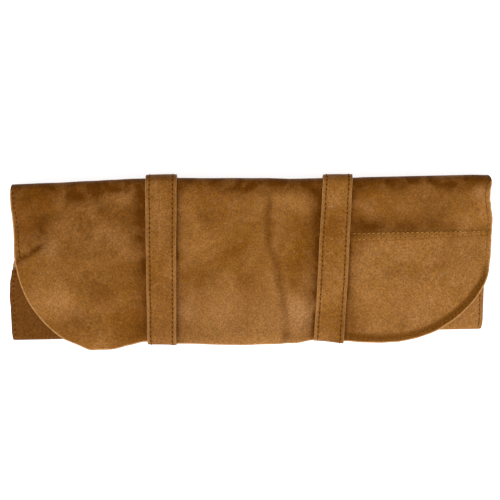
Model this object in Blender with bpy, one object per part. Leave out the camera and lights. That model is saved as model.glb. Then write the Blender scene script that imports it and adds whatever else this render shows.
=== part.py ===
"""Leather knife case, folded shut, with two straps round it.

Metres, +Z up. The case lies flat as it is photographed: its long side runs
along X, the top fold is on the +Y side, the bottom fold on the -Y side.
The origin is on the surface that the case lies on, under its middle.

The back panel lies on the two straps. At the bottom fold a narrow lower flap
turns up over it, and at the top fold the wide front flap comes down over both
and hangs a little past the bottom fold. Blade pockets are sewn to the right
end of the back panel and of the front flap, and handle guards to the left end.
"""
import math

import bpy
from mathutils import Vector

MM = 0.001

# The folded case
CASE_LENGTH = 465.0 * MM
CASE_DEPTH = 149.0 * MM
FLAP_LEFT_INSET = 2.5 * MM
LOWER_FLAP_RIGHT_INSET = 10.0 * MM
LOWER_FLAP_WIDTH = 66.0 * MM

# How far the front flap hangs past the bottom fold, along the case
LOBE_OVERHANG = 13.0 * MM
STRAP_OVERHANG = 5.2 * MM
MIDDLE_OVERHANG = 9.0 * MM
RIGHT_OVERHANG = 8.5 * MM
LOBE_PLACE_SHARE = -0.70
RIGHT_PLACE_SHARE = 0.55

# The front flap's two rounded lower corners
LEFT_CORNER_LENGTH = 76.0 * MM
LEFT_CORNER_DEPTH = 90.0 * MM
RIGHT_CORNER_LENGTH = 82.0 * MM
RIGHT_CORNER_DEPTH = 67.0 * MM
CORNER_POWER = 1.65

# Leather, thread and the clearances between layers
HIDE_THICKNESS = 1.5 * MM
PLY_THICKNESS = 1.2 * MM
PLY_GAP = 0.3 * MM
LAYER_GAP = 0.6 * MM
POCKET_AIR = 4.2 * MM
THREAD_THICKNESS = 0.6 * MM
THREAD_LIFT = 0.5 * MM
SEAM_INSET = 4.0 * MM

# The two folds
TOP_FOLD_REACH = 7.0 * MM
BOTTOM_FOLD_REACH = 3.4 * MM
FOLD_CUT = 0.3 * MM
HINGE_CLEARANCE = 0.3 * MM

# How the folded leather lies: full in the middle, sunk at its ends and edge
END_DROOP_LENGTH = 62.0 * MM
TOP_DROOP_START = 6.0 * MM
TOP_DROOP_LENGTH = 48.0 * MM
EDGE_DROOP_START = 12.0 * MM
EDGE_DROOP_LENGTH = 36.0 * MM
FOLD_FULL_SHARE = 0.30
END_FULL_SHARE = 0.12
LIP_FULL_SHARE = -0.45

# Blade pockets and handle guards
POCKET_MOUTH_X = 80.0 * MM
POCKET_DIVIDER_Y = 24.9 * MM
POCKET_RAMP = 13.0 * MM
POCKET_TOP_INSET = 4.0 * MM
BACK_POCKET_END_INSET = 4.0 * MM
BACK_POCKET_BOTTOM_INSET = 8.0 * MM
FLAP_PLY_INSET = 0.8 * MM
FLAP_GUARD_LENGTH = 252.0 * MM
BACK_GUARD_LENGTH = 120.0 * MM
DIVIDER_ROW_SPREAD = 6.0 * MM
DIVIDER_ROW_CLOSE = 1.8 * MM

# The straps
STRAP_WIDTH = 30.0 * MM
STRAP_OUTER_THICKNESS = 1.6 * MM
STRAP_LINING_THICKNESS = 1.3 * MM
STRAP_GAP = 0.3 * MM
STRAP_TURN_REACH = 6.5 * MM
STRAP_TURN_DROP = 5.1 * MM
STRAP_HINGE_INSET = 15.0 * MM
STRAP_SEAM_INSET = 3.8 * MM
LEFT_STRAP_TOP_X = -85.0 * MM
LEFT_STRAP_BOTTOM_X = -87.2 * MM
RIGHT_STRAP_TOP_X = 84.9 * MM
RIGHT_STRAP_BOTTOM_X = 73.7 * MM

# The concealed magnet in each strap's end and the steel plate under it
MAGNET_LENGTH = 20.0 * MM
MAGNET_HEIGHT = 4.5 * MM
PLATE_WIDTH = 5.0 * MM
CATCH_THICKNESS = 0.5 * MM
CATCH_CLEARANCE = 0.3 * MM
CATCH_INSET = 1.2 * MM
CUT_OVERRUN = 0.2 * MM

# How finely the curved leather is divided
SEAM_ROWS = 22
END_COLUMNS = 10
MIDDLE_COLUMNS = 13
TURN_STEPS = 6
STRAP_ROWS = 26
ROW_CLOSE = 0.25 * MM

# Sizes that follow from those above
STRAP_STACK = STRAP_GAP + STRAP_LINING_THICKNESS + STRAP_GAP + STRAP_OUTER_THICKNESS
LEFT_X = -CASE_LENGTH / 2
RIGHT_X = CASE_LENGTH / 2
FLAP_LEFT_X = LEFT_X + FLAP_LEFT_INSET
PANEL_RIGHT_X = RIGHT_X - LOWER_FLAP_RIGHT_INSET
TOP_Y = (CASE_DEPTH + LOBE_OVERHANG - STRAP_STACK) / 2
BOTTOM_Y = TOP_Y - CASE_DEPTH
BACK_LOW = STRAP_STACK
BACK_HIGH = BACK_LOW + HIDE_THICKNESS
LOWER_FLAP_LOW = BACK_HIGH + PLY_GAP + PLY_THICKNESS + LAYER_GAP
LOWER_FLAP_HIGH = LOWER_FLAP_LOW + HIDE_THICKNESS
FLAP_PLY_LOW = LOWER_FLAP_HIGH + LAYER_GAP
FLAP_LOW = FLAP_PLY_LOW + PLY_THICKNESS + PLY_GAP
FLAP_HIGH = FLAP_LOW + HIDE_THICKNESS
FLAP_TOP = FLAP_HIGH + 2 * POCKET_AIR
TOP_FOLD_MIDDLE = (BACK_LOW + FLAP_TOP) / 2
TOP_FOLD_RISE = FLAP_TOP - TOP_FOLD_MIDDLE
BOTTOM_FOLD_TOP = LOWER_FLAP_HIGH + POCKET_AIR * FOLD_FULL_SHARE
BOTTOM_FOLD_MIDDLE = (BACK_LOW + BOTTOM_FOLD_TOP) / 2
BOTTOM_FOLD_RISE = BOTTOM_FOLD_TOP - BOTTOM_FOLD_MIDDLE
FLAT_TOP_Y = TOP_Y - TOP_FOLD_REACH
STRAP_HINGE_Y = TOP_Y - STRAP_HINGE_INSET
STRAP_TURN_Y = BOTTOM_Y
STRAP_END_Y = STRAP_TURN_Y - STRAP_TURN_REACH

# The lines that the moving pieces turn about, each parallel to X
FLAP_PIVOT = Vector((0, TOP_Y + STRAP_STACK + HINGE_CLEARANCE, TOP_FOLD_MIDDLE))
LOWER_FLAP_PIVOT = Vector((0, BOTTOM_Y - HINGE_CLEARANCE, BOTTOM_FOLD_MIDDLE))
STRAP_PIVOT_HEIGHT = FLAP_TOP + STRAP_STACK

# Colours (linear) and finish
HIDE_COLOR = (0.30, 0.125, 0.024)
PLY_COLOR = (0.36, 0.17, 0.045)
LOWER_COLOR = (0.22, 0.095, 0.024)
STRAP_COLOR = (0.33, 0.145, 0.032)
THREAD_COLOR = (0.48, 0.25, 0.08)
STEEL_COLOR = (0.55, 0.55, 0.56)
LEATHER_ROUGHNESS = 0.62
THREAD_ROUGHNESS = 0.8
STEEL_ROUGHNESS = 0.35


def clear_scene():
    """Remove the objects of the file that this runs in."""
    for item in list(bpy.data.objects):
        bpy.data.objects.remove(item, do_unlink=True)


def ease(value):
    """A smooth step from 0 at 0 to 1 at 1."""
    value = min(max(value, 0.0), 1.0)
    return value * value * (3.0 - 2.0 * value)


def mix(low, high, share):
    return low + (high - low) * share


def eased_table(place, table):
    """A height read from a table of (place, height), eased between its entries."""
    if place <= table[0][0]:
        return table[0][1]
    for (low, first), (high, second) in zip(table, table[1:]):
        if place <= high:
            return mix(first, second, ease((place - low) / (high - low)))
    return table[-1][1]


def fullness(x, y):
    """How far the layers stand apart at a place, 1 in the full middle of the case."""
    top_start = FLAT_TOP_Y - TOP_DROOP_START
    fold_start = BOTTOM_Y + EDGE_DROOP_START
    edge = [(BOTTOM_Y - LOBE_OVERHANG, LIP_FULL_SHARE), (BOTTOM_Y, FOLD_FULL_SHARE),
            (fold_start, FOLD_FULL_SHARE)]
    middle = eased_table(y, edge + [(fold_start + EDGE_DROOP_LENGTH, 1.0)])
    ends = eased_table(y, edge + [(fold_start + EDGE_DROOP_START, END_FULL_SHARE),
                                  (top_start - TOP_DROOP_LENGTH, END_FULL_SHARE),
                                  (top_start, 1.0)])
    near_end = ease((abs(x) - (RIGHT_X - END_DROOP_LENGTH)) / END_DROOP_LENGTH)
    return mix(middle, ends, near_end)


def panel_x(share, y):
    """A place across the back panel: its ends run from the flap's to the bottom fold's."""
    up = (y - BOTTOM_Y) / CASE_DEPTH
    left = mix(LEFT_X, FLAP_LEFT_X, up)
    right = mix(PANEL_RIGHT_X, RIGHT_X, up)
    return mix(left, right, share)


def flap_top(x, y):
    """Height of the front flap's outer face."""
    return FLAP_HIGH + 2 * POCKET_AIR * fullness(x, y)


def lower_flap_top(x, y):
    return LOWER_FLAP_HIGH + POCKET_AIR * fullness(x, y)


def overhang(x):
    """How far the front flap's straight edge hangs past the bottom fold."""
    table = [(LOBE_PLACE_SHARE * RIGHT_X, LOBE_OVERHANG),
             (LEFT_STRAP_BOTTOM_X - STRAP_WIDTH / 2, STRAP_OVERHANG),
             (LEFT_STRAP_BOTTOM_X + STRAP_WIDTH / 2, STRAP_OVERHANG),
             (0, MIDDLE_OVERHANG),
             (RIGHT_STRAP_BOTTOM_X - STRAP_WIDTH / 2, STRAP_OVERHANG),
             (RIGHT_STRAP_BOTTOM_X + STRAP_WIDTH / 2, STRAP_OVERHANG),
             (RIGHT_PLACE_SHARE * RIGHT_X, RIGHT_OVERHANG)]
    return eased_table(x, table)


def corner_rise(depth, length, distance):
    """How far a rounded corner lifts the edge, at a distance into its length."""
    share = min(max(distance / length, 0.0), 1.0)
    return depth * (1.0 - (1.0 - share ** CORNER_POWER) ** (1.0 / CORNER_POWER))


def flap_edge(x):
    """The y of the front flap's free edge."""
    straight = BOTTOM_Y - overhang(x)
    left = corner_rise(LEFT_CORNER_DEPTH, LEFT_CORNER_LENGTH, FLAP_LEFT_X + LEFT_CORNER_LENGTH - x)
    right = corner_rise(RIGHT_CORNER_DEPTH, RIGHT_CORNER_LENGTH, x - RIGHT_X + RIGHT_CORNER_LENGTH)
    return straight + left + right


def spaced(first, last, count):
    """Places from first to last in equal steps, both ends included."""
    return [mix(first, last, step / count) for step in range(count + 1)]


def corner_places(start, end):
    """Columns that close up towards a rounded corner's end."""
    shares = [math.sin(step / END_COLUMNS * math.pi / 2) for step in range(END_COLUMNS + 1)]
    return [mix(start, end, share) for share in shares]


def flap_columns():
    """The x of each column of the front flap's grid, left to right."""
    left = corner_places(FLAP_LEFT_X + LEFT_CORNER_LENGTH, FLAP_LEFT_X)[::-1]
    right = corner_places(RIGHT_X - RIGHT_CORNER_LENGTH, RIGHT_X)
    return left[:-1] + spaced(left[-1], right[0], MIDDLE_COLUMNS) + right[1:]


def flap_lines():
    """The y of each row of the front flap's grid, which its plies share."""
    pocket_top = FLAT_TOP_Y - POCKET_TOP_INSET
    fold_start = BOTTOM_Y + EDGE_DROOP_START
    marks = [(pocket_top, 1), (pocket_top - POCKET_RAMP, 2), (POCKET_DIVIDER_Y + POCKET_RAMP, 2),
             (POCKET_DIVIDER_Y, 2), (POCKET_DIVIDER_Y - POCKET_RAMP, 2),
             (fold_start + EDGE_DROOP_LENGTH, 4), (fold_start, 4), (BOTTOM_Y, 2),
             (BOTTOM_Y - LOBE_OVERHANG, 4)]
    lines = [FLAT_TOP_Y]
    for mark, count in marks:
        lines += spaced(lines[-1], mark, count)[1:]
    return lines


def flap_rows(x, inset=0.0):
    """The rows of one column; those past the free edge close up just inside it."""
    lines = flap_lines()
    edge = flap_edge(x) + inset
    last = len(lines) - 1
    return [max(line, edge + (last - row) * ROW_CLOSE) for row, line in enumerate(lines)]


def ply_rows(x):
    """The rows of a ply under the front flap, which stops short of the flap's edges."""
    return flap_rows(x, FLAP_PLY_INSET)[1:]


def quarter_turn(crest_y, middle, reach, rise, side):
    """A quarter of an oval from its crest to where the leather lies flat.

    The crest is at the fold's middle height; side is 1 for the upper quarter
    and -1 for the lower one. A negative reach bends towards -Y.
    """
    points = []
    for step in range(TURN_STEPS + 1):
        angle = step / TURN_STEPS * math.pi / 2
        y = crest_y - reach * (1.0 - math.cos(angle))
        z = middle + side * rise * math.sin(angle)
        points.append((y, z))
    return points


def cut_back(points, middle, side):
    """Move a quarter turn's first point off the fold's middle, by half of the cut."""
    first_y = points[0][0]
    return [(first_y, middle + side * FOLD_CUT / 2)] + points[1:]


def material(name, color, roughness, metallic=0.0):
    made = bpy.data.materials.new(name)
    made.use_nodes = True
    shader = made.node_tree.nodes["Principled BSDF"]
    shader.inputs["Base Color"].default_value = (*color, 1.0)
    shader.inputs["Roughness"].default_value = roughness
    shader.inputs["Metallic"].default_value = metallic
    made.diffuse_color = (*color, 1.0)
    return made


def add_pivot(name, place, parent=None):
    """An empty on a joint's line, which carries the pieces that turn about it."""
    pivot = bpy.data.objects.new(name, None)
    bpy.context.collection.objects.link(pivot)
    pivot.empty_display_size = STRAP_WIDTH
    pivot.parent = parent
    pivot.location = place - (parent.location if parent else Vector((0, 0, 0)))
    return pivot


def add_piece(name, verts, faces, skin, carrier=None, origin=None):
    """One closed piece, whose origin is on the line that it turns about."""
    place = origin if origin is not None else Vector((0, 0, 0))
    mesh = bpy.data.meshes.new(name)
    mesh.from_pydata([Vector(vert) - place for vert in verts], [], faces)
    mesh.validate()
    mesh.update()
    mesh.shade_smooth()
    mesh.set_sharp_from_angle(angle=math.radians(35))
    mesh.materials.append(skin)
    piece = bpy.data.objects.new(name, mesh)
    bpy.context.collection.objects.link(piece)
    piece.parent = carrier
    return piece


def grid_solid(over, under):
    """Vertices and faces of a closed sheet between two grids of points.

    Both grids are lists of columns, left to right, whose points run alike.
    The over grid is on the left of each column's direction of travel when
    seen from +X, as the outer face of leather that runs from +Y to -Y is.
    """
    columns = len(over)
    rows = len(over[0])
    verts = [point for column in over for point in column]
    verts += [point for column in under for point in column]
    half = columns * rows

    def top(column, row):
        return column * rows + row

    def low(column, row):
        return half + column * rows + row

    faces = []
    for column in range(columns - 1):
        for row in range(rows - 1):
            faces.append((top(column, row), top(column, row + 1),
                          top(column + 1, row + 1), top(column + 1, row)))
            faces.append((low(column, row), low(column + 1, row),
                          low(column + 1, row + 1), low(column, row + 1)))
        faces.append((top(column, 0), top(column + 1, 0), low(column + 1, 0), low(column, 0)))
        last = rows - 1
        faces.append((top(column, last), low(column, last),
                      low(column + 1, last), top(column + 1, last)))
    end = columns - 1
    for row in range(rows - 1):
        faces.append((top(0, row), low(0, row), low(0, row + 1), top(0, row + 1)))
        faces.append((top(end, row), top(end, row + 1), low(end, row + 1), low(end, row)))
    return verts, faces


def sheet(name, columns, over_path, under_path, skin, carrier=None, origin=None):
    """A leather sheet whose two faces are given as a path of points for each column."""
    over = [over_path(column) for column in columns]
    under = [under_path(column) for column in columns]
    verts, faces = grid_solid(over, under)
    return add_piece(name, verts, faces, skin, carrier, origin)


def box_mesh(low, high):
    """Vertices and faces of a box between two corners."""
    over = [[(x, y, high[2]) for y in (high[1], low[1])] for x in (low[0], high[0])]
    under = [[(x, y, low[2]) for y in (high[1], low[1])] for x in (low[0], high[0])]
    return grid_solid(over, under)


def cut_box(piece, low, high, origin):
    """Cut a box out of a piece, and leave the cutter as a hidden wire."""
    verts, faces = box_mesh(low, high)
    cutter = add_piece(piece.name + "_recess_cutter", verts, faces, piece.data.materials[0],
                       piece.parent, origin)
    cutter.hide_render = True
    cutter.display_type = 'WIRE'
    modifier = piece.modifiers.new("recess", 'BOOLEAN')
    modifier.operation = 'DIFFERENCE'
    modifier.solver = 'EXACT'
    modifier.object = cutter


def thread(name, points, skin, carrier=None, origin=None, closed=False):
    """A thread of square section laid along points of its underside's middle."""
    half = THREAD_THICKNESS / 2
    rings = []
    count = len(points)
    for index, point in enumerate(points):
        before = points[index - 1] if index or closed else point
        after = points[(index + 1) % count] if index < count - 1 or closed else point
        run = Vector(after) - Vector(before)
        run.z = 0
        across = Vector((-run.y, run.x, 0)).normalized() * half
        base = Vector(point)
        lift = Vector((0, 0, THREAD_THICKNESS))
        rings.append([base - across, base + across, base + across + lift, base - across + lift])
    verts = [corner for ring in rings for corner in ring]
    faces = []
    for ring in range(count if closed else count - 1):
        this = ring * 4
        other = (ring + 1) % count * 4
        for side in range(4):
            onward = (side + 1) % 4
            faces.append((this + side, this + onward, other + onward, other + side))
    if not closed:
        last = (count - 1) * 4
        faces.append((3, 2, 1, 0))
        faces.append((last, last + 1, last + 2, last + 3))
    return add_piece(name, verts, faces, skin, carrier, origin)


def turned_path(crest_y, middle, reach, rise, side, flat):
    """A fold's quarter turn from its crest, then the flat points that follow it."""
    turn = cut_back(quarter_turn(crest_y, middle, reach, rise, side), middle, side)
    return turn[:-1] + flat


def front_flap(skin, carrier):
    """The wide flap, with the upper half of the top fold."""
    def over(x):
        flat = [(y, flap_top(x, y)) for y in flap_rows(x)]
        path = turned_path(TOP_Y, TOP_FOLD_MIDDLE, TOP_FOLD_REACH, TOP_FOLD_RISE, 1, flat)
        return [(x, y, z) for y, z in path]

    def under(x):
        flat = [(y, flap_top(x, y) - HIDE_THICKNESS) for y in flap_rows(x)]
        path = turned_path(TOP_Y - HIDE_THICKNESS, TOP_FOLD_MIDDLE,
                           TOP_FOLD_REACH - HIDE_THICKNESS, TOP_FOLD_RISE - HIDE_THICKNESS, 1, flat)
        return [(x, y, z) for y, z in path]

    sheet("front_flap", flap_columns(), over, under, skin, carrier, FLAP_PIVOT)


def back_panel(skin):
    """The panel that lies on the straps, with the lower half of both folds."""
    def path(inset):
        top = cut_back(quarter_turn(TOP_Y - inset, TOP_FOLD_MIDDLE, TOP_FOLD_REACH - inset,
                                    TOP_FOLD_RISE - inset, -1), TOP_FOLD_MIDDLE, -1)
        bottom = cut_back(quarter_turn(BOTTOM_Y + inset, BOTTOM_FOLD_MIDDLE,
                                       inset - BOTTOM_FOLD_REACH, BOTTOM_FOLD_RISE - inset, -1),
                          BOTTOM_FOLD_MIDDLE, -1)
        line = bottom + top[::-1]
        return lambda share: [(panel_x(share, y), y, z) for y, z in line]

    sheet("back_panel", [0.0, 1.0], path(0.0), path(HIDE_THICKNESS), skin)


def lower_flap(skin, carrier):
    """The narrow flap that turns up over the back panel at the bottom fold."""
    first = BOTTOM_Y + BOTTOM_FOLD_REACH
    last = BOTTOM_Y + LOWER_FLAP_WIDTH
    rows = spaced(first, last, SEAM_ROWS // 2)

    def path(inset):
        def at(share):
            flat = [(y, lower_flap_top(panel_x(share, y), y) - inset) for y in rows]
            line = turned_path(BOTTOM_Y + inset, BOTTOM_FOLD_MIDDLE, inset - BOTTOM_FOLD_REACH,
                               BOTTOM_FOLD_RISE - inset, 1, flat)
            return [(panel_x(share, y), y, z) for y, z in line]
        return at

    droop_share = END_DROOP_LENGTH / CASE_LENGTH
    columns = spaced(0.0, droop_share, END_COLUMNS) + spaced(1.0 - droop_share, 1.0, END_COLUMNS)
    sheet("lower_flap", columns, path(HIDE_THICKNESS), path(0.0), skin, carrier, LOWER_FLAP_PIVOT)


def pocket_swell(x, y, top, bottom, end):
    """1 where a pocket stands open, 0 where it is sewn down to its panel."""
    swell = ease((top - y) / POCKET_RAMP) * ease((y - bottom) / POCKET_RAMP)
    swell *= ease(abs(y - POCKET_DIVIDER_Y) / POCKET_RAMP)
    return swell * ease((end - x) / POCKET_RAMP)


def pocket_rows(top, bottom):
    """Rows that close up at a pocket's two long seams and at its divider."""
    shares = [0.0, 0.25, 0.5, 0.75, 1.0]
    above = [top - share * POCKET_RAMP for share in shares]
    to_divider = [POCKET_DIVIDER_Y + share * POCKET_RAMP for share in shares[::-1]]
    from_divider = [POCKET_DIVIDER_Y - share * POCKET_RAMP for share in shares[1:]]
    below = [bottom + share * POCKET_RAMP for share in shares[::-1]]
    between = spaced(from_divider[-1], below[0], 4)[1:-1]
    return above + to_divider + from_divider + between + below


def pocket_columns(end):
    """Columns from a pocket's mouth to its sewn end."""
    full_end = end - END_DROOP_LENGTH
    ramp = spaced(end - POCKET_RAMP, end, 4)
    return spaced(POCKET_MOUTH_X, full_end, 2) + spaced(full_end, ramp[0], 5)[1:-1] + ramp


def back_pocket(skin):
    """The blade pockets' ply on the back panel, open towards the handles."""
    top = FLAT_TOP_Y - POCKET_TOP_INSET
    bottom = BOTTOM_Y + BACK_POCKET_BOTTOM_INSET
    end = PANEL_RIGHT_X - BACK_POCKET_END_INSET
    rows = pocket_rows(top, bottom)

    def path(thickness):
        def at(x):
            base = BACK_HIGH + PLY_GAP + thickness
            air = POCKET_AIR
            return [(x, y, base + air * fullness(x, y) * pocket_swell(x, y, top, bottom, end))
                    for y in rows]
        return at

    sheet("back_pocket", pocket_columns(end), path(PLY_THICKNESS), path(0.0), skin)


def flap_ply_path(thickness, swell):
    """A path on the underside of the front flap, hung down where a pocket swells."""
    def at(x):
        points = []
        for y in ply_rows(x):
            under = flap_top(x, y) - HIDE_THICKNESS - PLY_GAP
            points.append((x, y, under - thickness - POCKET_AIR * fullness(x, y) * swell(x, y)))
        return points
    return at


def flap_pocket(skin, carrier):
    """The blade pockets' ply under the front flap; it has the flap's round corner."""
    top = FLAT_TOP_Y - POCKET_TOP_INSET
    columns = [POCKET_MOUTH_X] + [x for x in flap_columns()[:-1] if x > POCKET_MOUTH_X + POCKET_RAMP]

    def swell(x, y):
        # The pocket stays inside the bottom fold, so that it clears the fold when shut.
        bottom = max(flap_edge(x), BOTTOM_Y + BACK_POCKET_BOTTOM_INSET)
        return pocket_swell(x, y, top, bottom, columns[-1])

    sheet("flap_pocket", columns, flap_ply_path(0.0, swell),
          flap_ply_path(PLY_THICKNESS, swell), skin, carrier, FLAP_PIVOT)


def flap_guard(skin, carrier):
    """The ply under the front flap's left end, over the handles."""
    def flat(x, y):
        return 0.0

    end = FLAP_LEFT_X + FLAP_GUARD_LENGTH
    columns = [x for x in flap_columns()[1:] if x < end] + [end]
    sheet("flap_guard", columns, flap_ply_path(0.0, flat), flap_ply_path(PLY_THICKNESS, flat),
          skin, carrier, FLAP_PIVOT)


def back_guard(skin):
    """The flat ply on the back panel's left end, under the handles."""
    left = LEFT_X + BACK_POCKET_END_INSET
    low = (left, BOTTOM_Y + BACK_POCKET_BOTTOM_INSET, BACK_HIGH + PLY_GAP)
    high = (left + BACK_GUARD_LENGTH, FLAT_TOP_Y - POCKET_TOP_INSET, BACK_HIGH + PLY_GAP + PLY_THICKNESS)
    verts, faces = box_mesh(low, high)
    add_piece("back_guard", verts, faces, skin)


class Strap:
    """One strap: its lean across the case and the heights that it runs at."""

    def __init__(self, side, top_x, bottom_x):
        self.side = side
        self.top_x = top_x
        self.bottom_x = bottom_x

    def name(self, piece):
        return "strap_" + self.side + "_" + piece

    def centre(self, y):
        return mix(self.bottom_x, self.top_x, (y - BOTTOM_Y) / CASE_DEPTH)

    def pivot(self):
        return Vector((self.centre(STRAP_HINGE_Y), STRAP_HINGE_Y, STRAP_PIVOT_HEIGHT))

    def strip(self, piece, under_path, over_path, skin, carrier=None, origin=None):
        """One ply of the strap between two paths of (y, z), leaning with the strap."""
        half = STRAP_WIDTH / 2
        over = [[(self.centre(y) + side, y, z) for y, z in over_path] for side in (-half, half)]
        under = [[(self.centre(y) + side, y, z) for y, z in under_path] for side in (-half, half)]
        verts, faces = grid_solid(over, under)
        return add_piece(self.name(piece), verts, faces, skin, carrier, origin)


def strap_turn(offset, side):
    """The strap's half of the top fold's turn, at an offset from the hide."""
    turn = quarter_turn(TOP_Y + offset, TOP_FOLD_MIDDLE, TOP_FOLD_REACH + offset,
                        TOP_FOLD_RISE + offset, side)
    return cut_back(turn, TOP_FOLD_MIDDLE, side)


def strap_back_path(offset):
    """Along the back, from past the bottom fold to the middle of the top turn."""
    start = (STRAP_END_Y - STRAP_STACK, BACK_LOW - offset)
    return [start] + strap_turn(offset, -1)[::-1]


def strap_top_path(offset):
    """From the middle of the top turn to the line where the strap lifts."""
    end = (STRAP_HINGE_Y + FOLD_CUT / 2, FLAP_TOP + offset)
    return strap_turn(offset, 1) + [end]


def strap_front_path(offset):
    """Down the front, then round the flap's edge to the strap's end."""
    first = STRAP_HINGE_Y - FOLD_CUT / 2
    run = [(y, flap_top(0, y) + offset) for y in spaced(first, STRAP_TURN_Y, STRAP_ROWS)]
    turn_top = flap_top(0, STRAP_TURN_Y)
    reach = STRAP_TURN_REACH + offset
    drop = STRAP_TURN_DROP + offset
    low = turn_top - STRAP_TURN_DROP
    turn = []
    for step in range(1, TURN_STEPS + 1):
        angle = step / TURN_STEPS * math.pi / 2
        turn.append((STRAP_TURN_Y - reach * math.sin(angle), low + drop * math.cos(angle)))
    tip = (STRAP_END_Y - offset, BACK_LOW)
    return run + turn + [tip]


def strap_pieces(strap, leather, lining, stitching, steel, flap_carrier):
    """All the pieces of one strap."""
    lining_in = STRAP_GAP
    lining_out = lining_in + STRAP_LINING_THICKNESS
    outer_in = lining_out + STRAP_GAP
    pivot = strap.pivot()
    strip = strap.strip
    strip("back", strap_back_path(outer_in), strap_back_path(STRAP_STACK), leather)
    back_lining = strip("back_lining", strap_back_path(lining_in), strap_back_path(lining_out), lining)
    strip("top", strap_top_path(outer_in), strap_top_path(STRAP_STACK), leather,
          flap_carrier, FLAP_PIVOT)
    strip("top_lining", strap_top_path(lining_in), strap_top_path(lining_out), lining,
          flap_carrier, FLAP_PIVOT)
    carrier = add_pivot(strap.name("pivot"), pivot, flap_carrier)
    strip("front", strap_front_path(outer_in), strap_front_path(STRAP_STACK), leather, carrier, pivot)
    front_lining = strip("front_lining", strap_front_path(lining_in), strap_front_path(lining_out),
                         lining, carrier, pivot)
    magnet_in_lining(strap, front_lining, steel, carrier, pivot, lining_out)
    plate_in_lining(strap, back_lining, steel, lining_out)
    strap_thread(strap, stitching, carrier, pivot)


def strap_thread(strap, stitching, carrier, pivot):
    """The seam round the strap's front run, one closed line of thread."""
    start = STRAP_HINGE_Y - STRAP_SEAM_INSET
    side = STRAP_WIDTH / 2 - STRAP_SEAM_INSET
    lift = STRAP_STACK + THREAD_LIFT
    rows = spaced(start, STRAP_TURN_Y, STRAP_ROWS)
    down = [(strap.centre(y) - side, y, flap_top(0, y) + lift) for y in rows]
    up = [(strap.centre(y) + side, y, flap_top(0, y) + lift) for y in rows[::-1]]
    thread(strap.name("thread"), down + up, stitching, carrier, pivot, closed=True)


def magnet_in_lining(strap, lining, steel, carrier, pivot, lining_out):
    """A flat magnet let into the outer side of the lining, at the strap's end."""
    centre = strap.centre(STRAP_END_Y)
    face = STRAP_END_Y - lining_out
    low = BACK_LOW + CATCH_INSET
    half = MAGNET_LENGTH / 2
    inner = face + CATCH_THICKNESS
    verts, faces = box_mesh((centre - half, face, low), (centre + half, inner, low + MAGNET_HEIGHT))
    add_piece(strap.name("magnet"), verts, faces, steel, carrier, pivot)
    gap = CATCH_CLEARANCE
    cut_box(lining, (centre - half - gap, face - CUT_OVERRUN, low - gap),
            (centre + half + gap, inner + gap, low + MAGNET_HEIGHT + gap), pivot)


def plate_in_lining(strap, lining, steel, lining_out):
    """A steel plate let into the underside of the back run's lining."""
    centre = strap.centre(STRAP_END_Y)
    face = BACK_LOW - lining_out
    low_y = STRAP_END_Y - STRAP_STACK + CATCH_INSET
    half = MAGNET_LENGTH / 2
    top = face + CATCH_THICKNESS
    verts, faces = box_mesh((centre - half, low_y, face), (centre + half, low_y + PLATE_WIDTH, top))
    add_piece(strap.name("catch_plate"), verts, faces, steel)
    gap = CATCH_CLEARANCE
    cut_box(lining, (centre - half - gap, low_y - gap, face - CUT_OVERRUN),
            (centre + half + gap, low_y + PLATE_WIDTH + gap, top + gap), None)


def flap_threads(stitching, carrier):
    """The seams that show on the front flap's outer face."""
    def on_flap(x, y):
        return (x, y, flap_top(x, y) + THREAD_LIFT)

    left = FLAP_LEFT_X + SEAM_INSET
    low = flap_edge(left) + SEAM_INSET
    thread("flap_left_thread", [on_flap(left, y) for y in spaced(FLAT_TOP_Y, low, SEAM_ROWS)],
           stitching, carrier, FLAP_PIVOT)

    right = RIGHT_X - SEAM_INSET
    low = flap_edge(right) + SEAM_INSET
    line = [on_flap(right, y) for y in spaced(FLAT_TOP_Y, low, SEAM_ROWS)]
    mouth = RIGHT_STRAP_BOTTOM_X + STRAP_WIDTH
    corner = corner_places(RIGHT_X - RIGHT_CORNER_LENGTH, right)[::-1][1:]
    for x in corner + [mix(corner[-1], mouth, 0.5), mouth]:
        line.append(on_flap(x, flap_edge(x) + SEAM_INSET))
    thread("flap_curve_thread", line, stitching, carrier, FLAP_PIVOT)

    start = RIGHT_STRAP_TOP_X + STRAP_WIDTH / 2
    end = right - SEAM_INSET
    places = spaced(start, end, END_COLUMNS * 2)
    upper = [on_flap(x, POCKET_DIVIDER_Y) for x in places]
    lower = []
    for x in places[::-1]:
        spread = mix(DIVIDER_ROW_SPREAD, DIVIDER_ROW_CLOSE, (x - start) / (end - start))
        lower.append(on_flap(x, POCKET_DIVIDER_Y - spread))
    thread("flap_divider_thread", upper + lower, stitching, carrier, FLAP_PIVOT)


def inner_threads(stitching, carrier):
    """The divider seam of the back pockets, and the lower flap's end seams."""
    end = PANEL_RIGHT_X - BACK_POCKET_END_INSET - SEAM_INSET
    height = BACK_HIGH + PLY_GAP + PLY_THICKNESS + THREAD_LIFT
    line = [(x, POCKET_DIVIDER_Y, height) for x in (POCKET_MOUTH_X + SEAM_INSET, end)]
    thread("back_pocket_thread", line, stitching)
    for name, share, inset in (("lower_flap_left_thread", 0.0, SEAM_INSET),
                               ("lower_flap_right_thread", 1.0, -SEAM_INSET)):
        # Only the stretch that the front flap leaves bare: under it there is no room for a thread.
        foot = panel_x(share, BOTTOM_Y) + inset
        last = min(BOTTOM_Y + LOWER_FLAP_WIDTH, flap_edge(foot)) - SEAM_INSET
        line = []
        for y in spaced(BOTTOM_Y + BOTTOM_FOLD_REACH, last, SEAM_ROWS // 2):
            x = panel_x(share, y) + inset
            line.append((x, y, lower_flap_top(x, y) + THREAD_LIFT))
        thread(name, line, stitching, carrier, LOWER_FLAP_PIVOT)


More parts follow.
